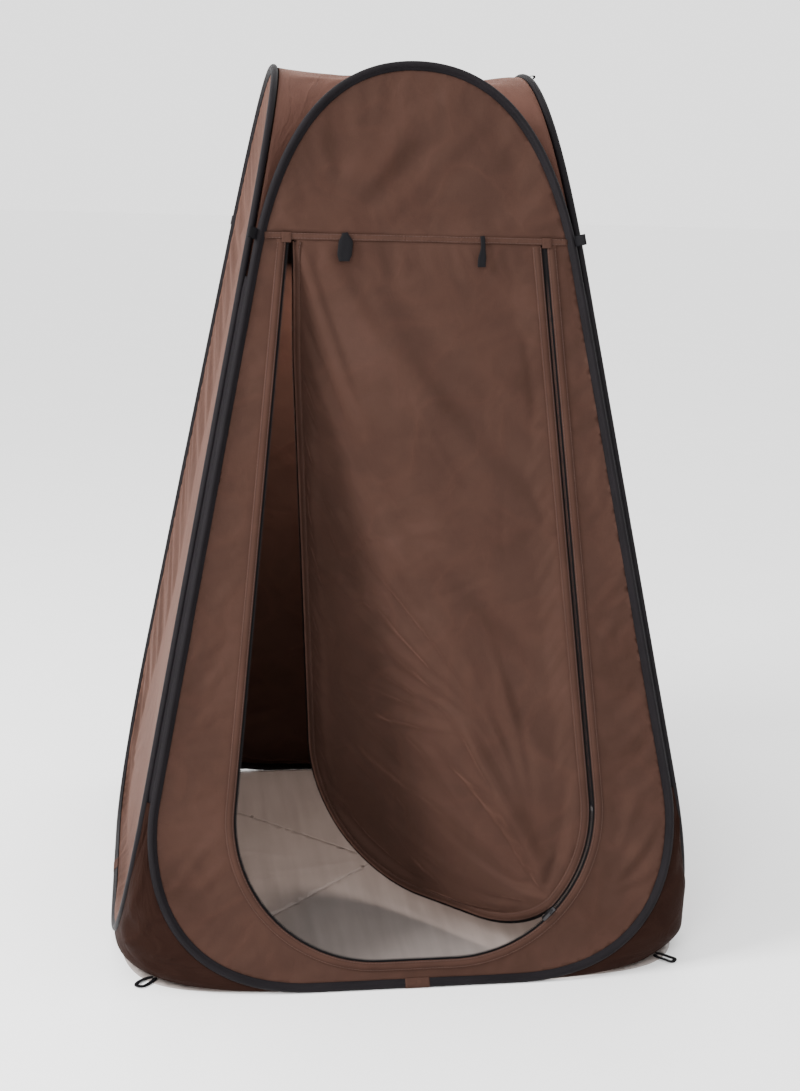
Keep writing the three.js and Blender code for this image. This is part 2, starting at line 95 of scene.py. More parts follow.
def turnSide(points, side):
    angle = -sides[side] * math.pi / 2
    c, s = round(math.cos(angle)), round(math.sin(angle))
    turned = points.copy()
    turned[:, 0] = c * points[:, 0] - s * points[:, 1]
    turned[:, 1] = s * points[:, 0] + c * points[:, 1]
    return turned


# a wall's own frame: x along it, y up its slope, z outwards
def wallToTent(side, flat, z=0.0):
    flat = np.asarray(flat, float).reshape(-1, 2)
    z = np.broadcast_to(np.asarray(z, float), (len(flat),))
    points = np.column_stack([
        flat[:, 0],
        -tent["footHalf"] + flat[:, 1] * sinLean - z * cosLean,
        flat[:, 1] * cosLean + z * sinLean,
    ])
    return turnSide(points, side)


def bezier(points, t):
    t = np.asarray(t, float)[:, None]
    a, b, c, d = (np.asarray(p, float) for p in points)
    return (a * (1 - t) ** 3 + 3 * b * t * (1 - t) ** 2
            + 3 * c * t ** 2 * (1 - t) + d * t ** 3)


def flankPoint(height):
    up = height / cosLean
    return np.array([tent["footHalf"] - flankInset - up * sinLean, up])


cornerShape = [
    (tent["cornerFlat"], tent["sleeveRadius"]),
    (tent["cornerFlat"] + tent["cornerReach"], tent["sleeveRadius"]),
    flankPoint(tent["flankFoot"] - tent["cornerReach"] * tent["cornerEndShare"]),
    flankPoint(tent["flankFoot"]),
]
archShape = [
    flankPoint(tent["flankTop"]),
    flankPoint(tent["flankTop"] + tent["archLift"]),
    (tent["archCrown"], hoopCrown),
    (0, hoopCrown),
]


# the distance covered at each point of a line
def runAlong(points):
    return np.concatenate([[0], np.cumsum(np.linalg.norm(np.diff(points, axis=0), axis=1))])


def evenly(points, step):
    points = np.asarray(points, float)
    run = runAlong(points)
    count = max(2, int(round(run[-1] / step)) + 1)
    at = np.linspace(0, run[-1], count)
    return np.column_stack([np.interp(at, run, points[:, k]) for k in range(points.shape[1])])


# the hoop's line, anticlockwise from one side of the mouth in its foot to the other
def hoopLine(step=0.008, mouth=0.0):
    fine = np.linspace(0, 1, 80)
    half = np.vstack([
        [(mouth, tent["sleeveRadius"])], bezier(cornerShape, fine), bezier(archShape, fine),
    ])
    whole = np.vstack([half, (half * [-1, 1])[::-1][1:]])
    return evenly(whole, step)


def tangents(points, closed=False):
    if closed:
        ahead = np.roll(points, -1, 0) - np.roll(points, 1, 0)
    else:
        ahead = np.gradient(points, axis=0)
    return ahead / np.linalg.norm(ahead, axis=1)[:, None]


# each tangent turned to the right, which is outwards on every outline here
def outwards(t):
    return np.column_stack([t[:, 1], -t[:, 0]])


def grown(points, distance, closed=True):
    return points + outwards(tangents(points, closed)) * distance


def smooth(t):
    t = np.clip(t, 0, 1)
    return t * t * (3 - 2 * t)


def nearest(points, line):
    found = np.full(len(points), 1e9)
    batch = 200
    for start in range(0, len(line), batch):
        part = line[start:start + batch]
        d = np.linalg.norm(points[:, None, :] - part[None], axis=2).min(axis=1)
        found = np.minimum(found, d)
    return found


def inside(points, outline):
    x, y = points[:, 0], points[:, 1]
    result = np.zeros(len(points), bool)
    for (ax, ay), (bx, by) in zip(outline, np.roll(outline, -1, 0)):
        crosses = (ay > y) != (by > y)
        at = (bx - ax) * (y - ay) / (by - ay if by != ay else 1e-12) + ax
        result ^= crosses & (x < at)
    return result


def polygonArea(outline):
    x, y = outline[:, 0], outline[:, 1]
    return abs(np.dot(x, np.roll(y, -1)) - np.dot(y, np.roll(x, -1))) / 2


print("materials")


class Value:
    def __init__(self, finish, socket):
        self.finish, self.socket = finish, socket

    def math(self, operation, other=0.0, swapped=False):
        first, second = (other, self) if swapped else (self, other)
        return self.finish.add("ShaderNodeMath", {"operation": operation}, [first, second])

    def __add__(self, other):
        return self.math("ADD", other)

    def __sub__(self, other):
        return self.math("SUBTRACT", other)

    def __mul__(self, other):
        return self.math("MULTIPLY", other)

    def __radd__(self, other):
        return self.math("ADD", other, True)

    def __rsub__(self, other):
        return self.math("SUBTRACT", other, True)

    def __rmul__(self, other):
        return self.math("MULTIPLY", other, True)

    def sine(self):
        return self.math("SINE")

    def size(self):
        return self.math("ABSOLUTE")

    def clamped(self):
        return self.math("MAXIMUM", 0.0).math("MINIMUM", 1.0)


class Finish:
    def __init__(self, name):
        self.material = bpy.data.materials.new(name)
        self.material.use_nodes = True
        self.tree = self.material.node_tree
        self.shader = next(n for n in self.tree.nodes if n.type == "BSDF_PRINCIPLED")

    def put(self, socket, value):
        if isinstance(value, Value):
            self.tree.links.new(value.socket, socket)
        else:
            socket.default_value = value

    def add(self, kind, settings=None, values=(), output=0):
        node = self.tree.nodes.new(kind)
        for name, setting in (settings or {}).items():
            setattr(node, name, setting)
        pairs = values.items() if isinstance(values, dict) else enumerate(values)
        for key, value in pairs:
            self.put(node.inputs[key], value)
        return Value(self, node.outputs[output])

    def mix(self, share, first, second):
        return self.add("ShaderNodeMix", {"data_type": "RGBA"}, {0: share, 6: first, 7: second}, 2)

    def spread(self, along=(1, 1, 1)):
        place = self.add("ShaderNodeTexCoord", output=3)
        return self.add("ShaderNodeVectorMath", {"operation": "MULTIPLY"}, [place, along])

    def surface(self, along=(1, 1, 1)):
        place = self.add("ShaderNodeUVMap", {"uv_map": "cloth"})
        return self.add("ShaderNodeVectorMath", {"operation": "MULTIPLY"}, [place, along])

    def across(self, vector, axis):
        return self.add("ShaderNodeSeparateXYZ", values=[vector], output=axis)

    def grain(self, vector, scale, detail=3.0, roughness=0.5, distortion=0.0):
        return self.add("ShaderNodeTexNoise", values={
            "Vector": vector, "Scale": scale, "Detail": detail,
            "Roughness": roughness, "Distortion": distortion,
        })

    def finish(self, colour, roughness, height=None, distance=0.001, **constants):
        self.put(self.shader.inputs["Base Color"], colour)
        self.put(self.shader.inputs["Roughness"], roughness)
        if height is not None:
            bump = self.add("ShaderNodeBump", values={
                "Strength": 1.0, "Distance": distance, "Height": height,
            })
            self.put(self.shader.inputs["Normal"], bump)
        for name, value in constants.items():
            self.shader.inputs[name.replace("_", " ")].default_value = value
        return self.material


# woven taffeta on the sheet's own flat coordinates, in metres
def wovenCloth(name, settings):
    f = Finish(name)
    flat = f.surface()
    pitch = math.pi / settings["thread"]
    u, v = f.across(flat, 0), f.across(flat, 1)
    weave = (u * pitch).sine() * (v * pitch).sine()
    cloudy = f.grain(flat, settings["cloudScale"], 4.0, 0.55)
    slubs = f.grain(f.surface((40, 900, 1)), 1.0, 2.0)
    slubsUp = f.grain(f.surface((900, 40, 1)), 1.0, 2.0)
    crumple = (f.grain(flat, settings["creaseScale"], 3.0, 0.45, 0.7) - 0.5).size()
    fineCrumple = (f.grain(flat, settings["creaseScale"] * 3.1, 2.0, 0.5, 0.5) - 0.5).size()
    creases = 1 - (crumple * 9).clamped()
    shade = (cloudy * 0.9 + (slubs + slubsUp) * 0.18 + weave * 0.05 - 0.13).clamped()
    colour = f.mix(shade, settings["dark"], settings["light"])
    # crease lines are mixed towards a lighter tone: a painted highlight along the creases; the
    # same mask also raises the bump
    colour = f.mix(creases * 0.10, colour, settings["creaseHighlight"])
    height = (weave * 0.06 + (slubs + slubsUp) * 0.10
              + creases * settings["creaseHeight"] + (1 - (fineCrumple * 8).clamped()) * 0.12)
    rough = cloudy * 0.12 + (settings["roughness"] - 0.06)
    return f.finish(colour, rough, height, 0.0016, Sheen_Weight=settings["sheen"],
                    Sheen_Roughness=0.35, Sheen_Tint=settings["bloom"], IOR=1.07,
                    Specular_IOR_Level=0.5, Specular_Tint=(1.0, 0.72, 0.62, 1))


tentCloth = wovenCloth("tentCloth", {
    "thread": 0.0011, "cloudScale": 5.0, "creaseScale": 7.0, "creaseHeight": 0.35,
    "dark": (0.0220, 0.0110, 0.0083, 1), "light": (0.0440, 0.0238, 0.0184, 1),
    "creaseHighlight": (0.066, 0.030, 0.022, 1), "roughness": 0.54, "sheen": 0.34,
    "bloom": (0.46, 0.235, 0.175, 1),
})
# a lighter copy of the wall cloth: painted light on the upward-facing roof
litRoofCloth = wovenCloth("litRoofCloth", {
    "thread": 0.0011, "cloudScale": 6.0, "creaseScale": 9.0, "creaseHeight": 0.5,
    "dark": (0.042, 0.020, 0.0150, 1), "light": (0.082, 0.041, 0.032, 1),
    "creaseHighlight": (0.11, 0.06, 0.046, 1), "roughness": 0.50, "sheen": 0.34,
    "bloom": (0.46, 0.25, 0.19, 1),
})
# a darker copy of the wall cloth: painted shade on the low corner panels
shadedGussetCloth = wovenCloth("shadedGussetCloth", {
    "thread": 0.0012, "cloudScale": 8.0, "creaseScale": 12.0, "creaseHeight": 0.6,
    "dark": (0.0075, 0.0033, 0.0025, 1), "light": (0.0165, 0.0078, 0.0058, 1),
    "creaseHighlight": (0.030, 0.0155, 0.0118, 1), "roughness": 0.64, "sheen": 0.05,
    "bloom": (0.2, 0.10, 0.08, 1),
})
seamCloth = wovenCloth("seamCloth", {
    "thread": 0.0011, "cloudScale": 12.0, "creaseScale": 30.0, "creaseHeight": 0.3,
    "dark": (0.0230, 0.0116, 0.0088, 1), "light": (0.0475, 0.0258, 0.0200, 1),
    "creaseHighlight": (0.066, 0.031, 0.023, 1), "roughness": 0.56, "sheen": 0.2,
    "bloom": (0.4, 0.2, 0.15, 1),
})


# diagonal rib of a folded binding tape, u round it and v along it
def bindingTape(name, settings):
    f = Finish(name)
    flat = f.surface()
    u, v = f.across(flat, 0), f.across(flat, 1)
    rib = ((u + v) * settings["rib"]).sine()
    cross = ((u - v) * settings["rib"]).sine()
    # patchy noise that lightens the tape towards grey: a painted highlight; it also varies the
    # roughness
    highlightPatches = f.grain(f.surface((30, 9, 1)), 1.0, 5.0, 0.6)
    fuzz = f.grain(flat, 900.0, 2.0)
    shade = (highlightPatches * 1.1 - 0.25 + rib * 0.08 + fuzz * 0.25).clamped()
    colour = f.mix(shade, settings["dark"], settings["light"])
    height = rib * 0.5 + cross * 0.2 + fuzz * 0.6
    return f.finish(colour, highlightPatches * 0.2 + settings["roughness"], height, 0.0003,
                    Sheen_Weight=0.1, Sheen_Roughness=0.5, Sheen_Tint=settings["light"],
                    IOR=settings["gloss"], Specular_IOR_Level=0.5)


sleeveTape = bindingTape("sleeveTape", {
    "rib": 2400.0, "dark": (0.0022, 0.0016, 0.0021, 1), "light": (0.0085, 0.0068, 0.0082, 1),
    "roughness": 0.40, "gloss": 1.16,
})
webbingTape = bindingTape("webbingTape", {
    "rib": 1500.0, "dark": (0.0020, 0.0019, 0.0022, 1), "light": (0.0080, 0.0074, 0.0090, 1),
    "roughness": 0.48, "gloss": 1.14,
})
zipTape = bindingTape("zipTape", {
    "rib": 3000.0, "dark": (0.0014, 0.0011, 0.0013, 1), "light": (0.0045, 0.0038, 0.0042, 1),
    "roughness": 0.48, "gloss": 1.12,
})


def floorCoating(settings):
    f = Finish("floorCoating")
    streaks = f.grain(f.spread((38, 2.2, 1)), 1.0, 4.0, 0.6)
    cloudy = f.grain(f.spread(), 5.0, 3.0)
    thread = f.grain(f.spread((700, 700, 1)), 1.0, 2.0)
    shade = (streaks * 0.75 + cloudy * 0.5 - 0.12).clamped()
    colour = f.mix(shade, settings["dark"], settings["light"])
    height = streaks * 0.25 + thread * 0.2 + cloudy * 0.5
    return f.finish(colour, streaks * 0.2 + settings["roughness"], height, 0.002,
                    Specular_IOR_Level=0.45)


floorCloth = floorCoating({
    "dark": (0.125, 0.104, 0.094, 1), "light": (0.26, 0.226, 0.210, 1), "roughness": 0.36,
})


def bareMetal(name, settings):
    f = Finish(name)
    scratches = f.grain(f.spread(settings["along"]), 1.0, 4.0, 0.6)
    tarnish = f.grain(f.spread(), 90.0, 4.0)
    colour = f.mix((tarnish * 1.4 - 0.2).clamped(), settings["dark"], settings["light"])
    return f.finish(colour, scratches * 0.25 + settings["roughness"], scratches + tarnish * 0.4,
                    0.0002, Metallic=settings["metallic"],
                    Specular_IOR_Level=settings.get("specular", 0.4))


springSteel = bareMetal("springSteel", {
    "along": (600, 600, 40), "dark": (0.30, 0.31, 0.33, 1), "light": (0.52, 0.53, 0.55, 1),
    "roughness": 0.25, "metallic": 1.0,
})
zipMetal = bareMetal("zipMetal", {
    "along": (500, 500, 500), "dark": (0.012, 0.011, 0.012, 1), "light": (0.04, 0.038, 0.04, 1),
    "roughness": 0.28, "metallic": 0.7,
})
zipNylon = bareMetal("zipNylon", {
    "along": (300, 300, 300), "dark": (0.0016, 0.0013, 0.0015, 1),
    "light": (0.006, 0.0052, 0.0058, 1),
    "roughness": 0.42, "metallic": 0.0, "specular": 0.08,
})
thread = bareMetal("stitchThread", {
    "along": (900, 900, 900), "dark": (0.032, 0.015, 0.011, 1), "light": (0.075, 0.038, 0.030, 1),
    "roughness": 0.5, "metallic": 0.0,
})


def makeMesh(name, points, faces, material, uvs=None):
    mesh = bpy.data.meshes.new(name)
    mesh.from_pydata([tuple(p) for p in points], [], [tuple(int(i) for i in f) for f in faces])
    if uvs is not None:
        layer = mesh.uv_layers.new(name="cloth")
        corner = np.zeros(len(mesh.loops), np.int32)
        mesh.loops.foreach_get("vertex_index", corner)
        layer.data.foreach_set("uv", np.asarray(uvs, np.float32)[corner].ravel())
    mesh.materials.append(material)
    mesh.polygons.foreach_set("use_smooth", [True] * len(mesh.polygons))
    mesh.update()
    piece = bpy.data.objects.new(name, mesh)
    bpy.context.scene.collection.objects.link(piece)
    return piece


def only(piece):
    for other in bpy.context.selected_objects:
        other.select_set(False)
    piece.select_set(True)
    bpy.context.view_layer.objects.active = piece


def faceOutwards(piece):
    only(piece)
    bpy.ops.object.mode_set(mode="EDIT")
    bpy.ops.mesh.select_all(action="SELECT")
    bpy.ops.mesh.normals_make_consistent(inside=False)
    bpy.ops.object.mode_set(mode="OBJECT")
    return piece


# the sides and both ends of a tube whose points go ring after ring
def tubeFaces(count, around, start=0):
    faces = []
    for i in range(count - 1):
        a, b = start + i * around, start + (i + 1) * around
        for j in range(around):
            k = (j + 1) % around
            faces.append((a + j, a + k, b + k, b + j))
    last = start + (count - 1) * around
    return faces + [tuple(range(start, start + around))[::-1], tuple(range(last, last + around))]


# a piece that moves with one body and takes the place of CAD nodes
def rides(piece, body, slotName, *nodes):
    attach(piece, body)
    if nodes:
        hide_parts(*nodes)


# gives a sheet a mesh of its own; the fold axis and anchor on its wall are worked out but nothing
# is folded
def foldFlat(piece, side, up):
    axis = turnSide(np.array([[0.0, -cosLean, sinLean]]), side)[0]
    anchor = wallToTent(side, [(0, up)])[0]
    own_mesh(piece)


def applyModifiers(piece):
    only(piece)
    for modifier in list(piece.modifiers):
        bpy.ops.object.modifier_apply(modifier=modifier.name)


def thicken(piece, thickness):
    solid = piece.modifiers.new("Thickness", "SOLIDIFY")
    solid.thickness = thickness
    solid.offset = 0
    applyModifiers(piece)


def meshArea(piece):
    return sum(p.area for p in piece.data.polygons)


def readPoints(piece):
    points = np.zeros(len(piece.data.vertices) * 3)
    piece.data.vertices.foreach_get("co", points)
    return points.reshape(-1, 3)


def writePoints(piece, points):
    piece.data.vertices.foreach_set("co", np.asarray(points, np.float32).ravel())
    piece.data.update()


# a flat piece of cloth in its wall's frame, triangulated evenly inside its outline
def cutCloth(outline, pitch):
    low, high = outline.min(0), outline.max(0)
    rowPitch = pitch * 0.866
    rows = int((high[1] - low[1]) / rowPitch) + 1
    columns = int((high[0] - low[0]) / pitch) + 1
    grid = np.array([
        (low[0] + (i + 0.5 * (j % 2)) * pitch, low[1] + j * pitch * 0.866)
        for j in range(rows + 1) for i in range(columns + 1)
    ])
    grid = grid[inside(grid, outline)]
    grid = grid[nearest(grid, outline) > pitch * 0.6]
    points = np.vstack([outline, grid])
    rim = [(i, (i + 1) % len(outline)) for i in range(len(outline))]
    found = delaunay_2d_cdt([Vector(p) for p in points], rim, [], 0, 1e-7)
    flat = np.array([tuple(p) for p in found[0]])
    faces = np.array(found[2])
    return flat, faces[inside(flat[faces].mean(axis=1), outline)]


def fold(flat, start, end, width, height, sharp=False):
    start, end = np.asarray(start, float), np.asarray(end, float)
    ahead = end - start
    length = np.linalg.norm(ahead)
    ahead = ahead / length
    offset = flat - start
    along = offset @ ahead / length
    aside = offset @ np.array([-ahead[1], ahead[0]])
    aside = aside + 0.04 * length * np.sin(along * math.pi * 1.3) * (1 if width > 0.02 else 0.5)
    taper = np.sin(np.clip(along, 0, 1) * math.pi) ** 0.8
    local = width * (0.45 + 0.55 * taper)
    if sharp:
        return height * taper * np.exp(-np.abs(aside) / local)
    return height * taper * np.exp(-(aside / local) ** 2)


# folds scattered over a region, turned about one heading
def scattered(flat, seed, **settings):
    draw = random.Random(seed)
    z = np.zeros(len(flat))
    (x0, y0), (x1, y1) = settings["region"]
    for _ in range(settings["count"]):
        x, y = draw.uniform(x0, x1), draw.uniform(y0, y1)
        heading = math.radians(settings["heading"] + draw.uniform(-1, 1) * settings["turn"])
        length = draw.uniform(*settings["length"])
        step = np.array([math.cos(heading), math.sin(heading)]) * length / 2
        width = draw.uniform(*settings["width"])
        height = draw.uniform(0.4, 1) * settings["height"] * draw.choice([-1, 1, 1])
        z += fold(flat, (x, y) - step, (x, y) + step, width, height, settings.get("sharp", False))
    return z


# folds that leave one point like a fan
def fan(flat, seed, **settings):
    draw = random.Random(seed)
    z = np.zeros(len(flat))
    for i in range(settings["count"]):
        share = (i + draw.uniform(0.2, 0.8)) / settings["count"]
        heading = math.radians(settings["first"] + (settings["last"] - settings["first"]) * share)
        step = np.array([math.cos(heading), math.sin(heading)])
        start = np.asarray(settings["point"]) + step * settings["gap"]
        end = start + step * draw.uniform(*settings["length"])
        height = settings["height"] * draw.uniform(0.5, 1) * (1 if i % 2 else -0.7)
        z += fold(flat, start, end, settings["width"] * draw.uniform(0.7, 1.3), height,
                  settings.get("sharp", False))
    return z


def ripple(points, scale, height, seed=0.0):
    return np.array([
        noise.noise(Vector((p[0] * scale + seed, p[1] * scale - seed, seed))) for p in points
    ]) * height


hanging = []   # cloth still to be settled by simulation
weight = {"quality": 4, "mass": 0.08, "shearShare": 0.4, "damping": 8, "bendDamping": 1.0,
          "airDamping": 4, "frames": 18}


def settleLater(piece, pinned, settings):
    group = piece.vertex_groups.new(name="sewn")
    group.add([int(i) for i in np.nonzero(pinned)[0]], 1.0, "REPLACE")
    hanging.append((piece, settings))


def settleAll(frames):
    if not hanging:
        return
    scene = bpy.context.scene
    before = {piece.name: readPoints(piece) for piece, _ in hanging}
    for piece, settings in hanging:
        cloth = piece.modifiers.new("Cloth", "CLOTH")
        sewn = cloth.settings
        sewn.vertex_group_mass = "sewn"
        sewn.quality = weight["quality"]
        sewn.mass = weight["mass"]
        sewn.tension_stiffness = sewn.compression_stiffness = settings["stiffness"]
        sewn.shear_stiffness = settings["stiffness"] * weight["shearShare"]
        sewn.bending_stiffness = settings["bending"]
        sewn.tension_damping = sewn.compression_damping = weight["damping"]
        sewn.shear_damping = weight["damping"]
        sewn.bending_damping = weight["bendDamping"]
        sewn.air_damping = weight["airDamping"]
        sewn.shrink_min = settings["shrink"]
        cloth.collision_settings.use_collision = False
        cloth.point_cache.frame_start = 1
        cloth.point_cache.frame_end = frames
    scene.frame_start, scene.frame_end = 1, frames
    for step in range(1, frames + 1):
        scene.frame_set(step)
    for piece, settings in hanging:
        applyModifiers(piece)
        start, now = before[piece.name], readPoints(piece)
        move = now - start
        far = np.linalg.norm(move, axis=1)
        share = np.minimum(1, settings["cap"] / np.maximum(far, 1e-9))
        writePoints(piece, start + move * share[:, None])
        piece.vertex_groups.clear()
    scene.frame_set(1)


# a section of (outwards in the wall's plane, off the plane) points carried along a line
def sweep(name, side, line, section, material, wobble=None, lift=0.0, bend=None):
    normal = outwards(tangents(line))
    run = runAlong(line)
    girth = runAlong(np.vstack([section, section[:1]]))[:-1]
    points, uvs = [], []
    for i in range(len(line)):
        swell = 1.0 if wobble is None else wobble[i]
        for j, (out, off) in enumerate(section):
            flat = line[i] + normal[i] * out * swell
            points.append((flat[0], flat[1], off * swell + lift))
            uvs.append((girth[j], run[i]))
    points = np.array(points)
    flat, off = points[:, :2], points[:, 2]
    world = bend(flat, off) if bend else wallToTent(side, flat, off)
    faces = tubeFaces(len(line), len(section))
    return faceOutwards(makeMesh(name, world, faces, material, uvs))


print("sleeves")
sleeve = {
    "step": 0.009, "mouth": 0.020, "tail": 0.0122, "tailHalf": 0.0014, "sides": 14,
    "gather": 0.022, "gatherLength": 0.07, "swell": 0.965, "halfTurn": 142, "neck": 0.72,
}
mouthCover = {"lap": 0.006, "step": 0.004, "grow": 1.06, "tail": 0.013, "wrinkle": 0.03}


# round outside, pinched to a stitched tail on the panel's side
def sleeveSection(radius, settings):
    turn, tail, half = settings["halfTurn"], settings["tail"], settings["tailHalf"]
    section = []
    for i in range(settings["sides"]):
        angle = math.radians(-turn) + math.radians(2 * turn) * i / (settings["sides"] - 1)
        section.append((radius * math.cos(angle), radius * math.sin(angle)))
    neck = tail * settings["neck"]
    section += [(-neck, half * 1.5), (-tail, half), (-tail, -half), (-neck, -half * 1.5)]
    return np.array(section)


for index, side in enumerate(sides):
    line = hoopLine(sleeve["step"], sleeve["mouth"] - 0.004)
    wobble = sleeve["swell"] + ripple(
        np.column_stack([np.arange(len(line)) * sleeve["step"] / sleeve["gatherLength"],
                         np.full(len(line), 3.7 * index)]), 1.0, sleeve["gather"], index * 2.3)
    section = sleeveSection(tent["sleeveRadius"], sleeve)
    tube = sweep(f"{side}_sleeve_tape", side, line, section, sleeveTape, wobble=wobble)
    rides(tube, side, "black_binding", f"{side}_sleeve")
    patchEnd = sleeve["mouth"] + mouthCover["lap"]
    patchLine = evenly([(-patchEnd, tent["sleeveRadius"]), (patchEnd, tent["sleeveRadius"])],
                       mouthCover["step"])
    patchSection = sleeveSection(tent["sleeveRadius"] * mouthCover["grow"],
                                 {**sleeve, "tail": mouthCover["tail"]})
    patch = sweep(f"{side}_mouth_cover", side, patchLine, patchSection, seamCloth,
                  wobble=1.0 + ripple(patchLine * 90, 1.0, mouthCover["wrinkle"], index))
    rides(patch, side, "brown_cloth", f"{side}_sleeve_patch")

print("door opening")
door = {
    "topHalf": 0.267, "widestHalf": 0.378, "radius": 0.300, "foot": 0.064,
    "push": math.radians(52), "sliderAngle": math.radians(-45),
    "zipGap": 0.002, "tape": 0.008, "bendHalf": 0.075, "bendLeast": 0.004,
    "bendGrows": 0.25, "pitch": 0.0085, "hemmed": 0.021, "fade": 0.045, "billow": 0.012,
}
zipTaper = ((door["widestHalf"] - door["topHalf"])
            / (tent["transom"] - door["foot"] - door["radius"]))
zipLean = math.atan(zipTaper)
arcCentre = np.array([door["widestHalf"] - door["radius"], door["foot"] + door["radius"]])
hingeFoot = arcCentre + door["radius"] * np.array(
    [math.cos(door["sliderAngle"]), math.sin(door["sliderAngle"])])
hingeHead = np.array([-door["topHalf"] + 0.015, tent["transom"]])


# the opening's line from its top left corner down, round and up, moved outwards
def openingLine(grow, top=tent["transom"], step=0.008):
    radius = door["radius"] + grow
    topHalf = door["topHalf"] + grow / math.cos(zipLean) + (tent["transom"] - top) * zipTaper
    angles = zipLean - np.linspace(0, 1, 60) * (math.pi / 2 + zipLean)
    right = np.vstack([
        [(topHalf, top)],
        arcCentre + radius * np.column_stack([np.cos(angles), np.sin(angles)]),
    ])
    return evenly(np.vstack([right * [-1, 1], right[::-1]]), step)


hingeAlong = (hingeHead - hingeFoot) / np.linalg.norm(hingeHead - hingeFoot)
looseWay = np.array([-hingeAlong[1], hingeAlong[0]])


# the loose half of the door turned inwards about its hinge line, over a soft bend
def bendDoor(flat, off):
    flat = np.asarray(flat, float)
    off = np.broadcast_to(np.asarray(off, float), (len(flat),))
    relative = flat - hingeFoot
    along = relative @ hingeAlong
    aside = relative @ looseWay
    toEnd = np.minimum(along, np.linalg.norm(hingeHead - hingeFoot) - along)
    half = door["bendHalf"] * smooth(toEnd / door["bendGrows"]) + door["bendLeast"]
    radius = 2 * half / door["push"]
    tangent = radius * math.tan(door["push"] / 2)
    angle = np.clip((aside + tangent) / (2 * half), 0, 1) * door["push"]
    beyond = np.maximum(aside + tangent - 2 * half, 0)
    across = (np.where(aside < -tangent, aside, -tangent) + radius * np.sin(angle)
              + beyond * np.cos(angle))
    depth = -(radius * (1 - np.cos(angle)) + beyond * np.sin(angle))
    across = across + off * np.sin(angle)
    depth = depth + off * np.cos(angle)
    place = hingeFoot + np.outer(along, hingeAlong) + np.outer(across, looseWay)
    return wallToTent("front", place, depth)


hingeMiddle = (hingeFoot + hingeHead) / 2
hingeStart = wallToTent("front", [hingeMiddle - looseWay * door["bendHalf"]])[0]
hingeEnd = wallToTent("front", [hingeMiddle + looseWay * door["bendHalf"]])[0]


def withDoor(piece, slotName, *nodes):
    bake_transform(piece)
    if nodes:
        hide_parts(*nodes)


print("walls")
wall = {
    "pitch": 0.0115, "inset": 0.0082, "thickness": 0.0006,
    "fade": 0.10, "nearFade": 0.032, "hemFade": 0.05,
    "settle": {"stiffness": 12, "bending": 0.08, "shrink": -0.006, "cap": 0.016},
}
wallOutline = grown(hoopLine(wall["pitch"])[:-1], -wall["inset"])


def edgeFade(flat, edge, reach):
    return smooth(nearest(flat, edge) / reach)


def tensionFolds(flat, seed, heading):
    low, high = flat.min(0), flat.max(0)
    region = (low, high)
    z = scattered(flat, seed, region=region, count=9, heading=heading, turn=14,
                  length=(0.5, 1.1), width=(0.035, 0.07), height=0.006)
    z += scattered(flat, seed + 1, region=region, count=24, heading=heading, turn=35,
                   length=(0.12, 0.4), width=(0.010, 0.022), height=0.0022)
    z += scattered(flat, seed + 2, region=region, count=30, heading=heading, turn=75,
                   length=(0.05, 0.2), width=(0.004, 0.008), height=0.0016, sharp=True)
    return z


def sewnSheet(name, side, outline, shape, settings, hemLine=None):
    flat, faces = cutCloth(outline, settings["pitch"])
    fade = edgeFade(flat, outline, wall["fade"])
    nearFade = edgeFade(flat, outline, wall["nearFade"])
    pinned = nearest(flat, outline) < settings["pitch"] * 0.5
    if hemLine is not None:
        hemmed = nearest(flat, hemLine)
        nearFade = nearFade * smooth((hemmed - door["hemmed"]) / wall["hemFade"])
        pinned |= hemmed < door["hemmed"]
    z = shape(flat, fade, nearFade)
    piece = makeMesh(name, wallToTent(side, flat, z), faces, tentCloth, flat)
    settleLater(piece, pinned, settings["settle"])
    return piece, outline.max(0) - outline.min(0), polygonArea(outline)


def cornerFans(flat, seed, height, sign):
    point = (sign * 0.52, 0.10)
    start, end = (100, 168) if sign > 0 else (12, 80)
    return fan(flat, seed, point=point, count=9, first=start, last=end, gap=0.02,
               length=(0.18, 0.42), width=0.014, height=height)


def plainWall(seed, heading):
    def shape(flat, fade, nearFade):
        z = tensionFolds(flat, seed, heading) * nearFade
        for extra, sign in ((5, 1), (6, -1)):
            z += cornerFans(flat, seed + extra, 0.004, sign) * nearFade
        for extra, sign, start in ((7, 1, 175), (8, -1, -105)):
            gathers = fan(flat, seed + extra, point=(0.35 * sign, 1.57), count=6, first=start,
                          last=start + 110, gap=0.01, length=(0.15, 0.4), width=0.016,
                          height=0.004)
            z += gathers * nearFade
        return z + (ripple(flat, 2.2, 0.016, seed) - 0.006) * fade
    return shape


panels = []   # piece, side and nodes, until the cloth has settled
sheets = []   # piece, flat size, area and what it rests on
for side, seed, heading in (("left", 11, 62), ("back", 23, 118), ("right", 37, 60)):
    panel, size, area = sewnSheet(
        f"{side}_wall_cloth", side, wallOutline, plainWall(seed, heading), wall)
    panels.append((panel, side, f"{side}_panel"))
    sheets.append((panel, size, area, [f"{side}_sleeve_tape"]))


def wallHalfWidth(up):
    right = wallOutline[wallOutline[:, 0] > 0]
    right = right[np.argsort(right[:, 1])]
    upper = right[right[:, 1] > 0.5]
    return float(np.interp(up, upper[:, 1], upper[:, 0]))


archFoot = tent["transom"] + 0.0135
archSide = wallHalfWidth(archFoot)
archOutline = np.vstack([
    evenly([(-archSide, archFoot), (archSide, archFoot)], wall["pitch"])[:-1],
    [(archSide, archFoot)],
    wallOutline[wallOutline[:, 1] > archFoot + 0.004],
])


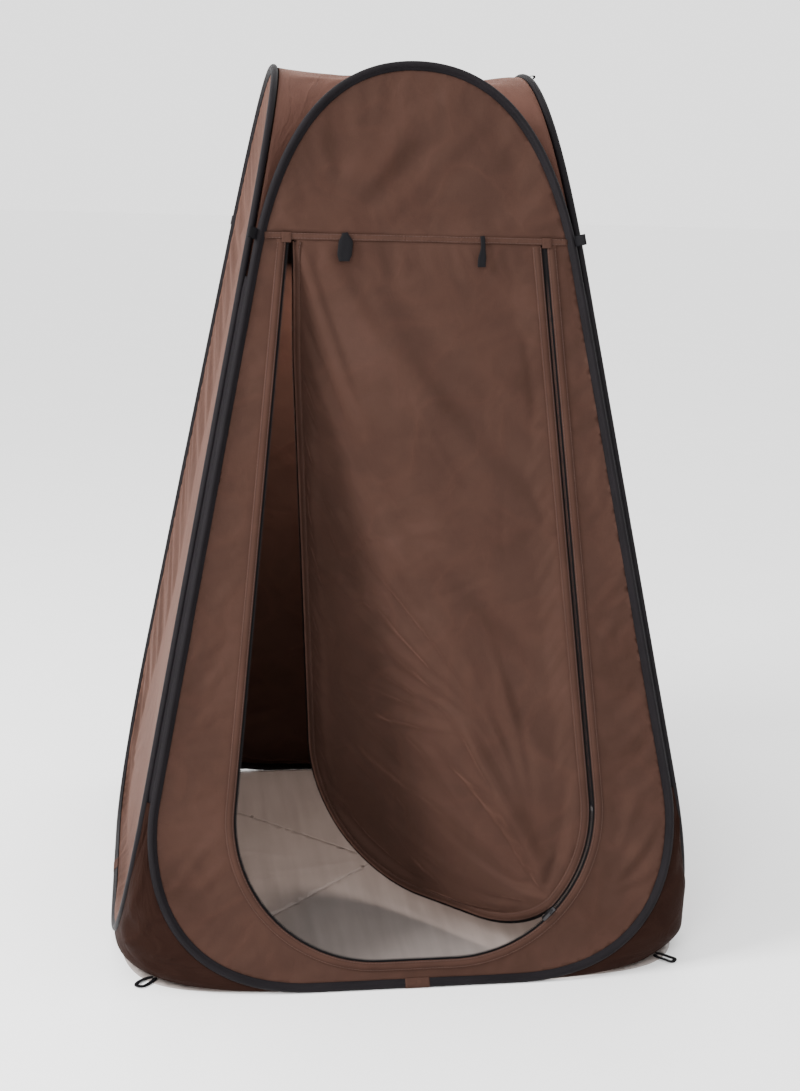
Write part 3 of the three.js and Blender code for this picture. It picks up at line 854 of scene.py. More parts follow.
def archFolds(flat, fade, nearFade):
    z = fan(flat, 41, point=(-0.20, 1.56), count=7, first=22, last=84, gap=0.03,
            length=(0.30, 0.46), width=0.026, height=0.0075)
    for start, end, width, height, sharp in (
            ((-0.26, 1.62), (0.12, 1.88), 0.05, 0.010, False),
            ((-0.10, 1.60), (0.26, 1.80), 0.04, 0.008, False),
            ((-0.30, 1.592), (-0.14, 1.585), 0.006, 0.003, True),
            ((0.02, 1.60), (0.28, 1.632), 0.005, 0.0035, True),
            ((0.06, 1.76), (0.24, 1.725), 0.004, 0.003, True),
            ((-0.16, 1.76), (0.04, 1.775), 0.004, 0.0024, True)):
        z += fold(flat, start, end, width, height, sharp)
    z += tensionFolds(flat, 43, 40) * 0.5
    return z * nearFade + (ripple(flat, 3.0, 0.012, 4.2)) * fade


piece, size, area = sewnSheet("front_arch_cloth", "front", archOutline, archFolds, wall)
panels.append((piece, "front", "front_arch_panel"))
sheets.append((piece, size, area, ["front_sleeve_tape", "transom_seam"]))

skirtHead = tent["transom"] + 0.0005
skirtSide = wallHalfWidth(skirtHead)
tapeShare = {"cloth": 0.8, "whole": 1.3}   # the cloth stops part way over the zip's tape
holeLine = openingLine(door["zipGap"] + door["tape"] * tapeShare["cloth"], skirtHead,
                       wall["pitch"])
rightBelow = [p for p in wallOutline if p[1] < skirtHead - 0.004]
order = np.argsort([(math.atan2(p[1] - 0.9, p[0]) - math.pi / 2) % (2 * math.pi)
                    for p in rightBelow])
around = np.array(rightBelow)[order]
skirtOutline = np.vstack([[(-skirtSide, skirtHead)], around, [(skirtSide, skirtHead)],
                          evenly([(skirtSide, skirtHead), holeLine[-1]], wall["pitch"])[1:-1],
                          holeLine[::-1],
                          evenly([holeLine[0], (-skirtSide, skirtHead)], wall["pitch"])[1:-1]])


def skirtFolds(flat, fade, nearFade):
    z = fan(flat, 51, point=(0.40, 0.17), count=8, first=18, last=96, gap=0.015,
            length=(0.16, 0.30), width=0.012, height=0.0055)
    z += fan(flat, 52, point=(-0.40, 0.15), count=6, first=100, last=165, gap=0.02,
             length=(0.14, 0.26), width=0.012, height=0.003)
    z += scattered(flat, 53, region=((0.36, 0.15), (0.56, 1.0)), count=20, heading=48, turn=16,
                   length=(0.12, 0.34), width=(0.009, 0.02), height=0.0048)
    z += scattered(flat, 54, region=((-0.56, 0.25), (-0.36, 1.45)), count=22, heading=58,
                   turn=12, length=(0.12, 0.36), width=(0.010, 0.022), height=0.0042)
    z += scattered(flat, 55, region=((0.28, 1.0), (0.50, 1.5)), count=12, heading=68, turn=18,
                   length=(0.12, 0.3), width=(0.009, 0.02), height=0.0035)
    z += scattered(flat, 56, region=((-0.4, 0.01), (0.5, 0.06)), count=12, heading=8, turn=14,
                   length=(0.08, 0.2), width=(0.006, 0.014), height=0.0022)
    return z * nearFade


piece, size, area = sewnSheet("front_skirt_cloth", "front", skirtOutline, skirtFolds, {
    "pitch": 0.0095,
    "settle": {"stiffness": 14, "bending": 0.06, "shrink": -0.004, "cap": 0.008},
}, hemLine=holeLine)
panels.append((piece, "front", "front_skirt_panel"))
sheets.append((piece, size, area, ["front_sleeve_tape", "transom_seam", "zip_frame_tape_cloth"]))

print("door")
doorTop = tent["transom"] + 0.0008
doorEdge = openingLine(-door["zipGap"] - door["tape"] * tapeShare["cloth"], doorTop,
                       door["pitch"])
doorOutline = np.vstack([
    doorEdge, evenly([doorEdge[-1], doorEdge[0]], door["pitch"])[1:-1],
])


def doorFolds(flat):
    # long slack folds that fall from the top left towards the closed side
    z = scattered(flat, 61, region=((-0.22, 0.75), (0.22, 1.50)), count=10, heading=-52,
                  turn=9, length=(0.5, 0.95), width=(0.026, 0.05), height=0.012)
    z += fold(flat, (-0.20, 1.45), (0.22, 0.98), 0.032, 0.014)
    z += fold(flat, (-0.18, 1.25), (0.26, 0.66), 0.036, -0.015)
    z += fold(flat, (-0.10, 1.05), (0.29, 0.42), 0.030, 0.015)
    # creases pulled across the pushed-in edge
    z += fan(flat, 62, point=(0.18, 0.52), count=13, first=118, last=186, gap=0.05,
             length=(0.22, 0.50), width=0.013, height=0.010)
    z += fan(flat, 63, point=(0.255, 0.30), count=8, first=96, last=138, gap=0.04,
             length=(0.25, 0.5), width=0.014, height=0.009)
    z += fan(flat, 64, point=(-0.31, 0.56), count=6, first=-38, last=18, gap=0.0,
             length=(0.2, 0.42), width=0.010, height=0.0042, sharp=True)
    # deep tuck above the slider
    z += fold(flat, hingeFoot + (0.008, -0.008), (0.10, 0.56), 0.020, 0.026)
    z += fold(flat, hingeFoot + (-0.02, -0.01), (0.02, 0.50), 0.022, -0.018)
    # handling creases
    z += scattered(flat, 65, region=((-0.28, 0.62), (0.05, 1.25)), count=46, heading=-28,
                   turn=38, length=(0.06, 0.24), width=(0.004, 0.010), height=0.0034,
                   sharp=True)
    z += scattered(flat, 66, region=((-0.22, 0.78), (0.10, 1.02)), count=26, heading=4,
                   turn=26, length=(0.05, 0.20), width=(0.004, 0.009), height=0.0036,
                   sharp=True)
    z += scattered(flat, 67, region=((-0.25, 0.20), (0.32, 1.5)), count=50, heading=-40,
                   turn=70, length=(0.05, 0.22), width=(0.004, 0.008), height=0.0020,
                   sharp=True)
    z += scattered(flat, 68, region=((-0.3, 0.12), (0.1, 0.5)), count=14, heading=-32, turn=16,
                   length=(0.15, 0.4), width=(0.012, 0.024), height=0.0055)
    return z


flat, faces = cutCloth(doorOutline, door["pitch"])
hemmed = nearest(flat, doorEdge)
fade = (edgeFade(flat, doorOutline, door["fade"])
        * smooth((hemmed - door["hemmed"]) / door["fade"]))
billow = smooth((1.45 - flat[:, 1]) / 0.9) * smooth((0.22 - flat[:, 0]) / 0.5)
height = (doorFolds(flat) * fade - door["billow"] * billow * fade
          + ripple(flat, 3.0, 0.010, 8.8) * fade)
doorSheet = makeMesh("door_cloth", bendDoor(flat, height), faces, tentCloth, flat)
pinned = (nearest(flat, doorOutline) < door["pitch"] * 0.5) | (hemmed < door["hemmed"])
settleLater(doorSheet, pinned,
            {"stiffness": 12, "bending": 0.05, "shrink": -0.006, "cap": 0.012})

settleAll(weight["frames"])

for piece, side, node in panels:
    thicken(piece, wall["thickness"])
    rides(piece, side, "brown_cloth", node)
thicken(doorSheet, wall["thickness"])
withDoor(doorSheet, "door_cloth", "door_upper", "door_flap")

print("zip")
zipper = {
    "thickness": 0.0012, "toothPitch": 0.0042, "toothReach": 0.0026, "toothWidth": 0.0022,
    "toothHeight": 0.0030, "clearOfSlider": 0.030, "aroundSlider": 0.130,
    "lift": 0.0006, "toothFoot": -0.0012, "creaseAngle": 40,
}


def flatSection(near, far, half):
    return np.array([(near, -half), (far, -half), (far, half), (near, half)])


# small beads set along a line; offsets are (along, aside, off the cloth), four to a ring
def beads(name, spots, offsets, material, side="front", bend=None):
    points, faces = [], []
    for base, ahead, aside in spots:
        faces += tubeFaces(len(offsets) // 4, 4, len(points))
        for along, out, off in offsets:
            flat = base + ahead * along + aside * out
            points.append((flat[0], flat[1], off))
    points = np.array(points)
    flat, off = points[:, :2], points[:, 2]
    world = bend(flat, off) if bend else wallToTent(side, flat, off)
    return faceOutwards(makeMesh(name, world, faces, material, flat))


# a tooth is a small rounded wedge with its foot in the tape; none are near the slider
def teeth(name, grow, inward, bend, phase):
    line = openingLine(grow, tent["transom"] - 0.004, zipper["toothPitch"])
    t = tangents(line)
    normal = outwards(t)
    spots = []
    for i in range(phase, len(line)):
        base = line[i] + t[i] * (phase * zipper["toothPitch"] / 2)
        away = base - hingeFoot
        if not (bend and 0 < away @ looseWay < zipper["clearOfSlider"]
                and np.linalg.norm(away) < zipper["aroundSlider"]):
            spots.append((base, t[i], normal[i]))
    wide, high, reach = (zipper[key] for key in ("toothWidth", "toothHeight", "toothReach"))
    offsets = [(along * share * wide / 2, inward * out, off * rise * high / 2)
               for out, share, rise in ((zipper["toothFoot"], 1.0, 1.0), (reach * 0.6, 0.8, 1.0),
                                        (reach, 0.55, 0.6))
               for along, off in ((-1, -1), (1, -1), (1, 1), (-1, 1))]
    piece = beads(name, spots, offsets, zipNylon, bend=bend)
    bpy.ops.object.shade_smooth_by_angle(angle=math.radians(zipper["creaseAngle"]))
    return piece


zipTop = tent["transom"] - 0.002
tapeWide = door["tape"] * tapeShare["whole"]
line = openingLine(0, zipTop, 0.006)
frameTape = sweep("zip_frame_tape_cloth", "front", line,
                  flatSection(door["zipGap"], door["zipGap"] + tapeWide,
                              zipper["thickness"] / 2), zipTape, lift=zipper["lift"])
rides(frameTape, "front", "zip_black", "zip_frame_tape")
frameTeeth = teeth("zip_frame_teeth", door["zipGap"], -1, None, 0)
rides(frameTeeth, "front", "zip_black")
doorTape = sweep("zip_door_tape_cloth", "front", line,
                 flatSection(-door["zipGap"] - tapeWide, -door["zipGap"],
                             zipper["thickness"] / 2), zipTape, lift=zipper["lift"], bend=bendDoor)
withDoor(doorTape, "zip_black", "zip_door_tape_fixed", "zip_door_tape_free")
doorTeeth = teeth("zip_door_teeth", -door["zipGap"], 1, bendDoor, 1)
withDoor(doorTeeth, "zip_black")

# sewn-down hems beside the zip, a second layer of the wall's cloth with two rows of stitches
hem = {"near": 0.0064, "far": 0.0252, "lift": 0.0016, "half": 0.0006,
       "stitch": 0.0042, "stitchPitch": 0.0066, "threadRadius": 0.00045, "rowIn": 0.0022,
       "threadLift": 0.0003}


def stitches(name, side, line, off, bend=None):
    line = evenly(line, hem["stitchPitch"])
    t = tangents(line)
    r = hem["threadRadius"]
    offsets = [(along * hem["stitch"], aside * r * size, off + (up * size + low) * r)
               for along, size, low in ((-0.5, 0.5, -0.5), (-0.22, 1.0, 0.4), (0.22, 1.0, 0.4),
                                        (0.5, 0.5, -0.5))
               for aside, up in ((-1, 0), (0, -1), (1, 0), (0, 1))]
    spots = list(zip(line, t, outwards(t)))[1:-1]
    return beads(name, spots, offsets, thread, side, bend)


for name, near, far, bend in (("skirt_hem", hem["near"], hem["far"], None),
                              ("door_hem", -hem["far"], -hem["near"], bendDoor)):
    band = sweep(name, "front", openingLine(0, zipTop, 0.0085),
                 flatSection(near, far, hem["half"]), tentCloth, lift=hem["lift"], bend=bend)
    rows = [stitches(f"{name}_stitches_{i}", "front", openingLine(at, zipTop),
                     hem["lift"] + hem["half"] + hem["threadLift"], bend)
            for i, at in enumerate((near + hem["rowIn"], far - hem["rowIn"]))]
    for piece in (band, *rows):
        if bend:
            withDoor(piece, "brown_cloth")
        else:
            rides(piece, "front", "brown_cloth")

print("transom")
transom = {"height": 0.014, "thickness": 0.0048, "middle": 0.007, "sides": 16,
           "rows": (0.0024, 0.0116), "endGap": 0.002, "rowGap": 0.004, "rowLift": 0.0027}
middle = tent["transom"] + transom["middle"]
half = wallHalfWidth(middle) - transom["endGap"]
across = evenly([(-half, middle), (half, middle)], 0.006)
across[:, 1] += ripple(across, 14.0, 0.0012, 3.3)
section = []
for i in range(transom["sides"]):
    angle = 2 * math.pi * i / transom["sides"]
    c, s = math.cos(angle), math.sin(angle)
    section.append((transom["height"] / 2 * math.copysign(abs(c) ** 0.45, c),
                    transom["thickness"] / 2 * math.copysign(abs(s) ** 0.6, s)))
band = sweep("transom_seam", "front", across, np.array(section), seamCloth,
             wobble=1 + ripple(across, 30.0, 0.07, 1.1))
rides(band, "front", "dark_cloth", "transom_tape")
for i, up in enumerate(transom["rows"]):
    end = half - transom["rowGap"]
    row = stitches(f"transom_stitches_{i}", "front",
                   [(-end, tent["transom"] + up), (end, tent["transom"] + up)],
                   transom["rowLift"])
    rides(row, "front", "dark_cloth")

print("roof")
roof = {"columns": 96, "rows": 30, "stand": 0.010, "sag": 0.012, "thickness": 0.0006,
        "wrinkle": 0.0035, "wrinkles": 22, "run": 0.52, "spread": 0.9,
        "flat": (0.94, 0.48), "keep": 0.12, "anchor": 1.7,
        "seamFade": 0.12, "crownFade": 0.15, "archFade": 0.06, "sagFade": 0.3}


# share 0 is the middle of the roof and 1 the arch; both edges lie on the corner's upright plane
def roofPoints(settings):
    fine = np.linspace(0, 1, settings["columns"] // 2 + 1)
    right = evenly(bezier(archShape, np.linspace(0, 1, 200)), 0.001)
    right = right[np.linspace(0, len(right) - 1, len(fine)).astype(int)]
    line = np.vstack([right * [-1, 1], right[::-1][1:]])
    edge = wallToTent("front", line)
    edge[:, 1] += settings["stand"]
    reach = (np.abs(edge[:, 0]) + np.abs(edge[:, 1])) / 2
    first, last = edge[0].copy(), edge[-1].copy()
    first[:2], last[:2] = (-reach[0], -reach[0]), (reach[-1], -reach[-1])
    edge = np.vstack([first, edge, last])
    columns = len(edge)
    shares = np.linspace(0, 1, settings["rows"] + 1)
    points = np.zeros((len(shares), columns, 3))
    for row, share in enumerate(shares):
        points[row, :, :2] = edge[:, :2] * share
        fall = share ** tent["roofFall"]
        points[row, :, 2] = tent["roofCrown"] + (edge[:, 2] - tent["roofCrown"]) * fall
    return points, shares


# its first row is all one point, which the mesh has once
def roofPlace(row, column):
    return 0 if row == 0 else 1 + (row - 1) * columnCount + column


roofGrid, shares = roofPoints(roof)
rowCount, columnCount = roofGrid.shape[:2]
turnAround = np.linspace(-1, 1, columnCount)
for index, side in enumerate(sides):
    grid = roofGrid.copy()
    draw = random.Random(70 + index)
    angle = turnAround[None, :]
    away = shares[:, None]
    fromSeam = 1 - np.abs(angle)
    fade = (smooth(fromSeam / roof["seamFade"]) * smooth(away / roof["crownFade"])
            * smooth((1 - away) / roof["archFade"]))
    wrinkles = np.zeros((rowCount, columnCount))
    for _ in range(roof["wrinkles"]):
        centre, width = draw.uniform(-0.95, 0.95), draw.uniform(0.02, 0.07)
        lowShare, highShare = sorted((draw.uniform(0.1, 1.0), draw.uniform(0.3, 1.05)))
        drift = draw.uniform(-0.25, 0.25)
        taper = np.sin(np.clip((away - lowShare) / max(highShare - lowShare, 0.2), 0, 1) * math.pi)
        wrinkles += (draw.choice((-1, 1)) * draw.uniform(0.4, 1) * taper
                     * np.exp(-((angle - centre - drift * (away - 0.5)) / width) ** 2))
    sag = -roof["sag"] * np.sin(away * math.pi) * (1 - angle ** 2)
    grid[:, :, 2] += (fade * wrinkles * roof["wrinkle"]
                      + sag * smooth(fromSeam / roof["sagFade"]))
    points = turnSide(grid.reshape(-1, 3), side)[columnCount - 1:]
    points[0] = (0, 0, tent["roofCrown"])
    faces = []
    for row in range(rowCount - 1):
        for column in range(columnCount - 1):
            a, b = roofPlace(row, column), roofPlace(row, column + 1)
            c, d = roofPlace(row + 1, column + 1), roofPlace(row + 1, column)
            faces.append((a, d, c) if row == 0 else (a, d, c, b))
    flatAngle = turnAround * roof["spread"]
    run = shares[:, None] * roof["run"]
    uvs = np.stack([run * np.sin(flatAngle), -run * np.cos(flatAngle)], 2).reshape(-1, 2)
    uvs = uvs[columnCount - 1:]
    gore = makeMesh(f"{side}_roof_cloth", points, faces, litRoofCloth, uvs + index * 0.7)
    sheets.append((gore, roof["flat"], meshArea(gore), [f"{side}_sleeve_tape"]))
    thicken(gore, roof["thickness"])
    rides(gore, side, "brown_cloth", f"{side}_roof_gore")
    foldFlat(gore, side, roof["anchor"])

print("floor")
floor = {"half": 0.631, "cornerStart": 0.240, "cornerReach": 0.340, "pitch": 0.014,
         "thickness": 0.0006, "rise": 0.0012, "lap": 0.003, "least": 0.0008,
         "step": 0.00015, "flat": (1.1, 0.64), "keep": 0.10}
cornerCurve = bezier([
    (floor["cornerStart"], -floor["half"]),
    (floor["cornerStart"] + floor["cornerReach"], -floor["half"]),
    (floor["half"], -floor["cornerStart"] - floor["cornerReach"]),
    (floor["half"], -floor["cornerStart"]),
], np.linspace(0, 0.5, 40))
floorOutline = np.vstack([(cornerCurve * [-1, 1])[::-1][:-1], cornerCurve])
floorOutline[0, 1], floorOutline[-1, 1] = floorOutline[0, 0], -floorOutline[-1, 0]
floorOutline = np.vstack([evenly([(0, 0.001), floorOutline[0]], floor["pitch"])[:-1],
                          evenly(floorOutline, floor["pitch"])[:-1],
                          evenly([floorOutline[-1], (0, 0.001)], floor["pitch"])[:-1]])
floorEdge = floorOutline + [0, floor["lap"]]
floorFlat, floorFaces = cutCloth(floorEdge, floor["pitch"])
for index, side in enumerate(sides):
    rise = floor["rise"] + (
        ripple(floorFlat, 6.0, 0.0012, 5 + index)
        + scattered(floorFlat, 90 + index, region=((-0.5, -0.6), (0.5, -0.05)), count=14,
                    heading=88, turn=24, length=(0.1, 0.4), width=(0.006, 0.02), height=0.0022)
    ) * edgeFade(floorFlat, floorEdge, 0.04)
    rise = np.maximum(rise, floor["least"]) + floor["step"] * (index % 2)
    points = turnSide(np.column_stack([floorFlat, rise]), side)
    gore = makeMesh(f"{side}_floor_cloth", points, floorFaces, floorCloth, floorFlat)
    sheets.append((gore, floor["flat"], meshArea(gore), []))
    thicken(gore, floor["thickness"])
    rides(gore, side, "floor_sheet", f"{side}_floor_gore")
    foldFlat(gore, side, 0.0)

print("corners")
# each corner begins the side named with it
corners = {"front_left": "front", "back_left": "left", "back_right": "back",
           "front_right": "right"}
gusset = {"rows": 46, "columns": 26, "clear": 0.004, "liftOff": 0.03, "thickness": 0.0007,
          "wrinkle": 0.005, "wrinkles": 16, "hollow": 0.004, "least": 0.0012,
          "flat": (0.30, 0.44), "footFade": 0.15, "topFade": 0.2, "hollowFade": 0.3}
seam = {"from": 0.395, "to": 1.455, "step": 0.008, "fade": 0.03, "wide": 0.0072,
        "deep": 0.0042, "sides": 10}


def gussetGrid(settings, seed):
    low = settings["liftOff"]
    share = low + (1 - low) * np.linspace(0, 1, settings["rows"] + 1)
    line = bezier(cornerShape, share)
    edge = grown(line, settings["clear"], closed=False)
    front = wallToTent("front", edge * [-1, 1])
    front[:, 2] = np.maximum(front[:, 2], settings["least"])
    across = np.linspace(0, 1, settings["columns"] + 1)
    a, b, c = (1 - across) ** 2, 2 * across * (1 - across), across ** 2
    grid = np.zeros((len(line), len(across), 3))
    grid[:, :, 0] = front[:, 0:1] * a + front[:, 1:2] * (b + c)
    grid[:, :, 1] = front[:, 1:2] * (a + b) + front[:, 0:1] * c
    grid[:, :, 2] = front[:, 2:3]
    draw = random.Random(seed)
    up, over = share[:, None], across[None, :]
    out = np.zeros(grid.shape[:2])
    for _ in range(settings["wrinkles"]):
        centre, width = draw.uniform(0.05, 0.95), draw.uniform(0.02, 0.07)
        drift = draw.uniform(-0.5, 0.5)
        out += (draw.choice((-1, 1)) * draw.uniform(0.3, 1)
                * np.exp(-((up - centre - drift * (over - 0.5)) / width) ** 2))
    bulge = np.sin(over * math.pi)
    out = (out * bulge * smooth(up / settings["footFade"])
           * smooth((1 - up) / settings["topFade"]))
    out = (out * settings["wrinkle"]
           - settings["hollow"] * bulge * smooth(up / settings["hollowFade"]))
    grid[:, :, 0] -= out / math.sqrt(2)
    grid[:, :, 1] -= out / math.sqrt(2)
    run = runAlong(front)
    uvs = np.stack([np.broadcast_to(over * settings["flat"][0], out.shape),
                    np.broadcast_to(run[:, None], out.shape)], 2)
    return grid.reshape(-1, 3), uvs.reshape(-1, 2)


# corners whose two bodies a joint joins directly; the blend between them is worked out but not
# used, and their pieces are only fixed in place
blendPairs = {"front_left": ("front", "left"), "back_left": ("left", "back"),
              "front_right": ("front", "right")}
blendReach = {"half": 0.06, "up": 0.2}


def onCorner(piece, corner):
    if corner not in blendPairs:
        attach(piece, "back")
        return
    first, second = blendPairs[corner]
    middle = np.array([[0, -tent["footHalf"]]])
    one, other = turnSide(middle, first)[0], turnSide(middle, second)[0]
    way = (other - one) / np.linalg.norm(other - one) * blendReach["half"]
    start, end = one + other - way, one + other + way
    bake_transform(piece)


for turns, (corner, first) in enumerate(corners.items()):
    points, uvs = gussetGrid(gusset, 100 + turns)
    wide = gusset["columns"] + 1
    faces = [(r * wide + c, (r + 1) * wide + c, (r + 1) * wide + c + 1, r * wide + c + 1)
             for r in range(gusset["rows"]) for c in range(gusset["columns"])]
    piece = makeMesh(f"gusset_cloth_{corner}", turnSide(points, first), faces, shadedGussetCloth, uvs)
    sheets.append((piece, gusset["flat"], meshArea(piece), [f"{first}_sleeve_tape"]))
    thicken(piece, gusset["thickness"])
    onCorner(piece, corner)
    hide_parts(f"gusset_{corner}")

    # the seam strip between two joined sleeves
    heights = np.arange(seam["from"], seam["to"] + 0.005, seam["step"])
    reach = tent["footHalf"] - tent["hingeOffset"] / cosLean - heights * tent["slope"]
    taper = (smooth((heights - seam["from"]) / seam["fade"])
             * smooth((seam["to"] - heights) / seam["fade"]))
    points, uvs = [], []
    for i, (z, r) in enumerate(zip(heights, reach)):
        swell = 0.9 + 0.12 * noise.noise(Vector((z * 30, turns * 3.1, 0)))
        for j in range(seam["sides"]):
            angle = 2 * math.pi * j / seam["sides"]
            wideWay = seam["wide"] * math.cos(angle) * swell
            deepWay = seam["deep"] * math.sin(angle) * swell * (0.3 + 0.7 * taper[i])
            points.append((-r + (wideWay - deepWay) / math.sqrt(2),
                           -r + (-wideWay - deepWay) / math.sqrt(2), z))
            uvs.append((j * 0.004, z))
    strip = faceOutwards(makeMesh(f"seam_strip_{corner}", turnSide(np.array(points), first),
                                  tubeFaces(len(heights), seam["sides"]), sleeveTape, uvs))
    onCorner(strip, corner)
    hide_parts(f"corner_seam_{corner}")

print("webbing")
webbing = {"thickness": 0.0014, "reach": 0.0115, "open": 0.0042, "step": 0.0012,
           "root": 0.0012, "rootHalf": 0.0009, "tabWidth": 0.022, "hangWidth": 0.020}


# a strap bent along a path: points with a width direction, given a rounded rectangle section
def strap(name, path, wide, width, thickness, material):
    path, wide = np.asarray(path, float), np.asarray(wide, float)
    ahead = np.gradient(path, axis=0)
    ahead /= np.linalg.norm(ahead, axis=1)[:, None]
    wide = np.broadcast_to(wide, path.shape)
    wide = wide - (wide * ahead).sum(1)[:, None] * ahead
    wide /= np.linalg.norm(wide, axis=1)[:, None]
    thin = np.cross(ahead, wide)
    widths = np.broadcast_to(np.asarray(width, float), (len(path),))
    half = [(-0.5, -0.25), (-0.46, -0.5), (-0.2, -0.5), (0.2, -0.5), (0.46, -0.5), (0.5, -0.25)]
    section = half + [(-u, -v) for u, v in half]
    run = runAlong(path)
    points, uvs = [], []
    for i in range(len(path)):
        for u, v in section:
            points.append(path[i] + wide[i] * u * widths[i] + thin[i] * v * thickness)
            uvs.append((u * widths[i], run[i]))
    faces = tubeFaces(len(path), len(section))
    return faceOutwards(makeMesh(name, points, faces, material, uvs))


# a folded loop fills the place of its solid: centre and axis from the node's box
def webbingLoop(node, body, axis, outward, width):
    low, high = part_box(node)
    centre = np.array((low + high) / 2)
    axis, outward = np.array(axis, float), np.array(outward, float)
    axis /= np.linalg.norm(axis)
    outward -= axis * (axis @ outward)
    outward /= np.linalg.norm(outward)
    sideWay = np.cross(axis, outward)
    angles = np.linspace(math.radians(196), math.radians(524), 30)
    path = [centre + outward * webbing["reach"] * math.cos(a)
            + sideWay * webbing["open"] * math.copysign(abs(math.sin(a)) ** 0.8, math.sin(a))
            for a in angles]
    root = centre - outward * (webbing["reach"] + webbing["root"])
    path = [root - sideWay * webbing["rootHalf"], *path, root + sideWay * webbing["rootHalf"]]
    piece = strap(node + "_webbing", evenly(path, webbing["step"]), axis, width,
                  webbing["thickness"], webbingTape)
    rides(piece, body, "black_webbing", node)


upFront = wallToTent("front", [(0, 1)])[0] - wallToTent("front", [(0, 0)])[0]
outFront = np.array([0, -cosLean, sinLean])
for side in ("front", "back"):
    for hand in ("left", "right"):
        name = f"guy_tab_{side}_{hand}"
        low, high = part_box(name)
        away = np.array((*((low + high) / 2).xy, 0.0))
        up = turnSide(np.array([upFront]), side)[0]
        up = up + np.array([math.copysign(sinLean, -away[0]), 0, 0])
        webbingLoop(name, side, up, away, webbing["tabWidth"])
outRight = turnSide(np.array([outFront]), "right")[0]
webbingLoop("hang_loop", "right", (0, 1, 0), outRight + (0, 0, 0.2), webbing["hangWidth"])

pegLoop = {"outer": 0.0165, "sewn": 0.030, "side": 0.0102, "height": 0.0034, "width": 0.0085,
           "thickness": 0.0017}
for corner in corners:
    low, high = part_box(f"peg_loop_{corner}")
    centre = np.array((*((low + high) / 2).xy, 0.0))
    way = centre / np.linalg.norm(centre)
    aside = np.array([-way[1], way[0], 0])
    path, wide = [], []
    for angle in np.linspace(math.radians(168), math.radians(-168), 46):
        c, s = math.cos(angle), math.sin(angle)
        reach = pegLoop["outer"] if c > 0 else pegLoop["sewn"]
        path.append(centre + way * reach * math.copysign(abs(c) ** 0.75, c)
                    + aside * pegLoop["side"] * math.copysign(abs(s) ** 0.75, s)
                    + np.array([0, 0, pegLoop["height"] + 0.0006 * math.sin(3 * angle)]))
        wide.append(way * c + aside * s)
    loop = strap(f"peg_loop_{corner}_webbing", path, wide, pegLoop["width"],
                 pegLoop["thickness"], webbingTape)
    bodies = frame["record"]["behaviour"]["bodies"]
    body = next(body for body, nodes in bodies.items() if f"peg_loop_{corner}" in nodes)
    rides(loop, body, "black_webbing", f"peg_loop_{corner}")

print("door ties")
tie = {"thickness": 0.0018, "points": 40, "off": 0.0050, "bow": 0.0012, "sway": 0.0015,
       "swing": 5.0}
patch = {"thickness": 0.0014, "points": 14, "off": 0.0036, "bow": 0.0005, "width": 0.0195,
         "inset": 0.0006}
along = np.linspace(0, 1, tie["points"])
tieWidths = {
    "roll_tie_left": 0.030 * (0.42 + 0.58 * smooth(along / 0.35)
                              * (1 - 0.45 * smooth((along - 0.75) / 0.25))),
    "roll_tie_right": 0.017 * (0.55 + 0.45 * smooth((along - 0.35) / 0.4)),
}
for name, widths in tieWidths.items():
    low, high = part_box(name)
    head, foot = high.z / cosLean, low.z / cosLean
    up = head + (foot - head) * along
    off = tie["off"] + tie["bow"] * np.sin(along * math.pi)
    x = (low.x + high.x) / 2 + tie["sway"] * np.sin(along * tie["swing"])
    path = wallToTent("front", np.column_stack([x, up]), off)
    piece = strap(f"{name}_strap", path, (1, 0, 0), widths, tie["thickness"], webbingTape)
    rides(piece, name, "black_webbing", name)

for name in ("zip_end_patch_left", "zip_end_patch_right"):
    low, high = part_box(name)
    up = np.linspace(low.z / cosLean + patch["inset"], high.z / cosLean - patch["inset"],
                     patch["points"])
    x = np.full(patch["points"], (low.x + high.x) / 2)
    off = patch["off"] + patch["bow"] * np.sin(np.linspace(0, math.pi, patch["points"]))
    path = wallToTent("front", np.column_stack([x, up]), off)
    piece = strap(f"{name}_cloth", path, (1, 0, 0), patch["width"], patch["thickness"], seamCloth)
    rides(piece, "front", "dark_cloth", name)

for piece, size, area, rests in sheets:
    print(piece.name, "cut", round(float(area), 3), "of", [round(float(v), 3) for v in size])
    float(np.clip(area, 0.301 * size[0] * size[1],
                                                size[0] * size[1]))

print("metal parts")
for name, node in frame["nodes"].items():
    if name.endswith("_hoop") or name.endswith("_ferrule"):
        node.data.materials.clear()
        node.data.materials.append(springSteel)
    elif name.startswith("zip_slider") or name.startswith("zip_pull"):
        node.data.materials.clear()
        node.data.materials.append(zipMetal)

print("light and camera")
studio = {"sky": 2.1, "groundHalf": 60.0}
world = bpy.data.worlds.new("studio")
bpy.context.scene.world = world
world.use_nodes = True
sky = world.node_tree.nodes["Background"]
sky.inputs["Color"].default_value = (1, 1, 1, 1)
sky.inputs["Strength"].default_value = studio["sky"]

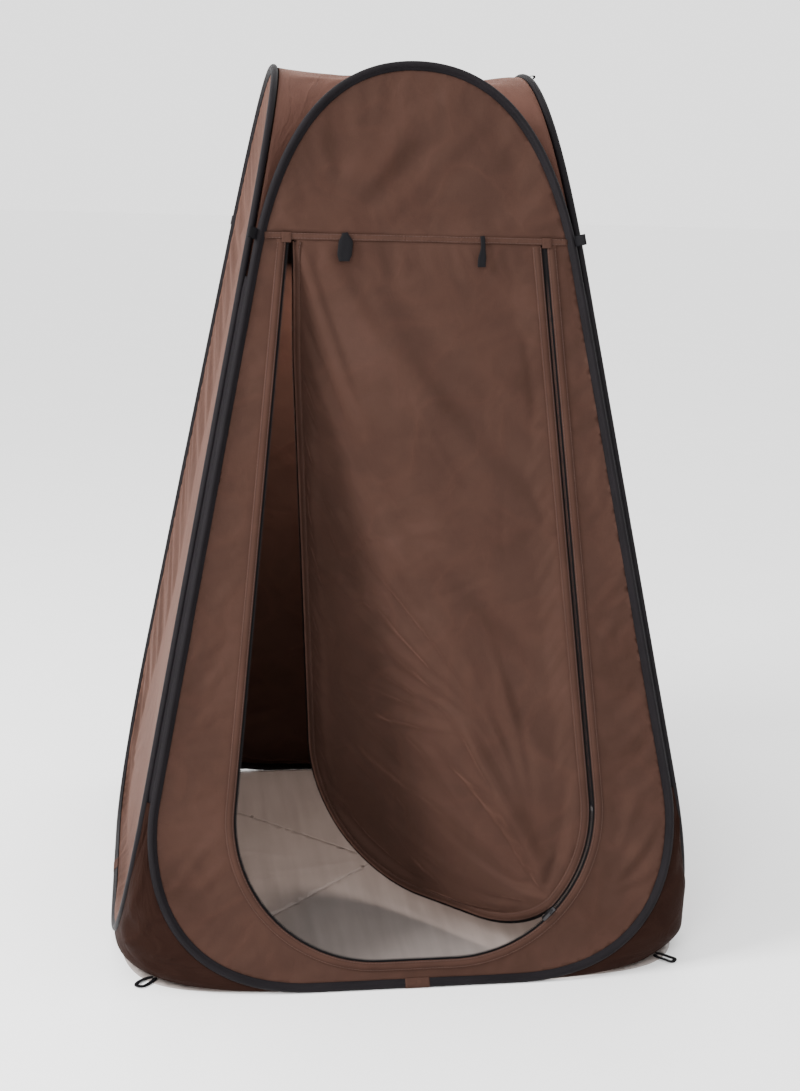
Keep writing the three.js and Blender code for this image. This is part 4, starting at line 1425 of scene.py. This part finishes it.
mesh = bpy.data.meshes.new("ground")
half = studio["groundHalf"]
mesh.from_pydata([(-half, -half, 0), (half, -half, 0), (half, half, 0), (-half, half, 0)], [],
                 [(0, 1, 2, 3)])
groundPlane = bpy.data.objects.new("ground", mesh)
bpy.context.scene.collection.objects.link(groundPlane)
f = Finish("paleGround")
tone = f.grain(f.spread(), 2.0, 2.0)
mesh.materials.append(f.finish(f.mix(tone, (0.93, 0.93, 0.93, 1), (0.96, 0.96, 0.96, 1)), 0.6))
groundPlane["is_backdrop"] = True


def softLight(name, place, target, size, power, colour=(1, 1, 1)):
    light = bpy.data.lights.new(name, "AREA")
    light.shape = "RECTANGLE"
    light.size, light.size_y = size
    light.energy = power
    light.color = colour
    holder = bpy.data.objects.new(name, light)
    holder.location = place
    holder.rotation_mode = "QUATERNION"
    holder.rotation_quaternion = (Vector(target) - Vector(place)).to_track_quat("-Z", "Y")
    bpy.context.scene.collection.objects.link(holder)


softLight("keySoftbox", (-4.2, -1.6, 3.6), (0, 0, 0.9), (1.6, 1.6), 520)
softLight("frontFill", (-2.2, -4.8, 3.4), (0, 0, 0.9), (1.6, 1.6), 190)
softLight("insideGlow", (0, 0.05, 1.45), (0, 0.05, 0), (0.45, 0.45), 20, (1.0, 0.86, 0.78))

view = {
    "place": (-0.539, -3.640, 1.6661), "yaw": 0.1567, "pitch": 0.2286, "roll": 0.030,
    "lens": 52.2544, "sensor": 36,
}
yaw, pitch, roll = view["yaw"], view["pitch"], view["roll"]
forward = Vector((math.sin(yaw) * math.cos(pitch), math.cos(yaw) * math.cos(pitch),
                  -math.sin(pitch)))
level = Vector((math.cos(yaw), -math.sin(yaw), 0))
rise = level.cross(forward)
right = level * math.cos(roll) + rise * math.sin(roll)
upward = -level * math.sin(roll) + rise * math.cos(roll)
camera = bpy.data.objects.new("camera", bpy.data.cameras.new("camera"))
camera.data.lens = view["lens"]
camera.data.sensor_width = view["sensor"]
camera.matrix_world = Matrix((
    (right.x, upward.x, -forward.x, view["place"][0]),
    (right.y, upward.y, -forward.y, view["place"][1]),
    (right.z, upward.z, -forward.z, view["place"][2]),
    (0, 0, 0, 1),
))
bpy.context.scene.collection.objects.link(camera)
bpy.context.scene.camera = camera

low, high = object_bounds()
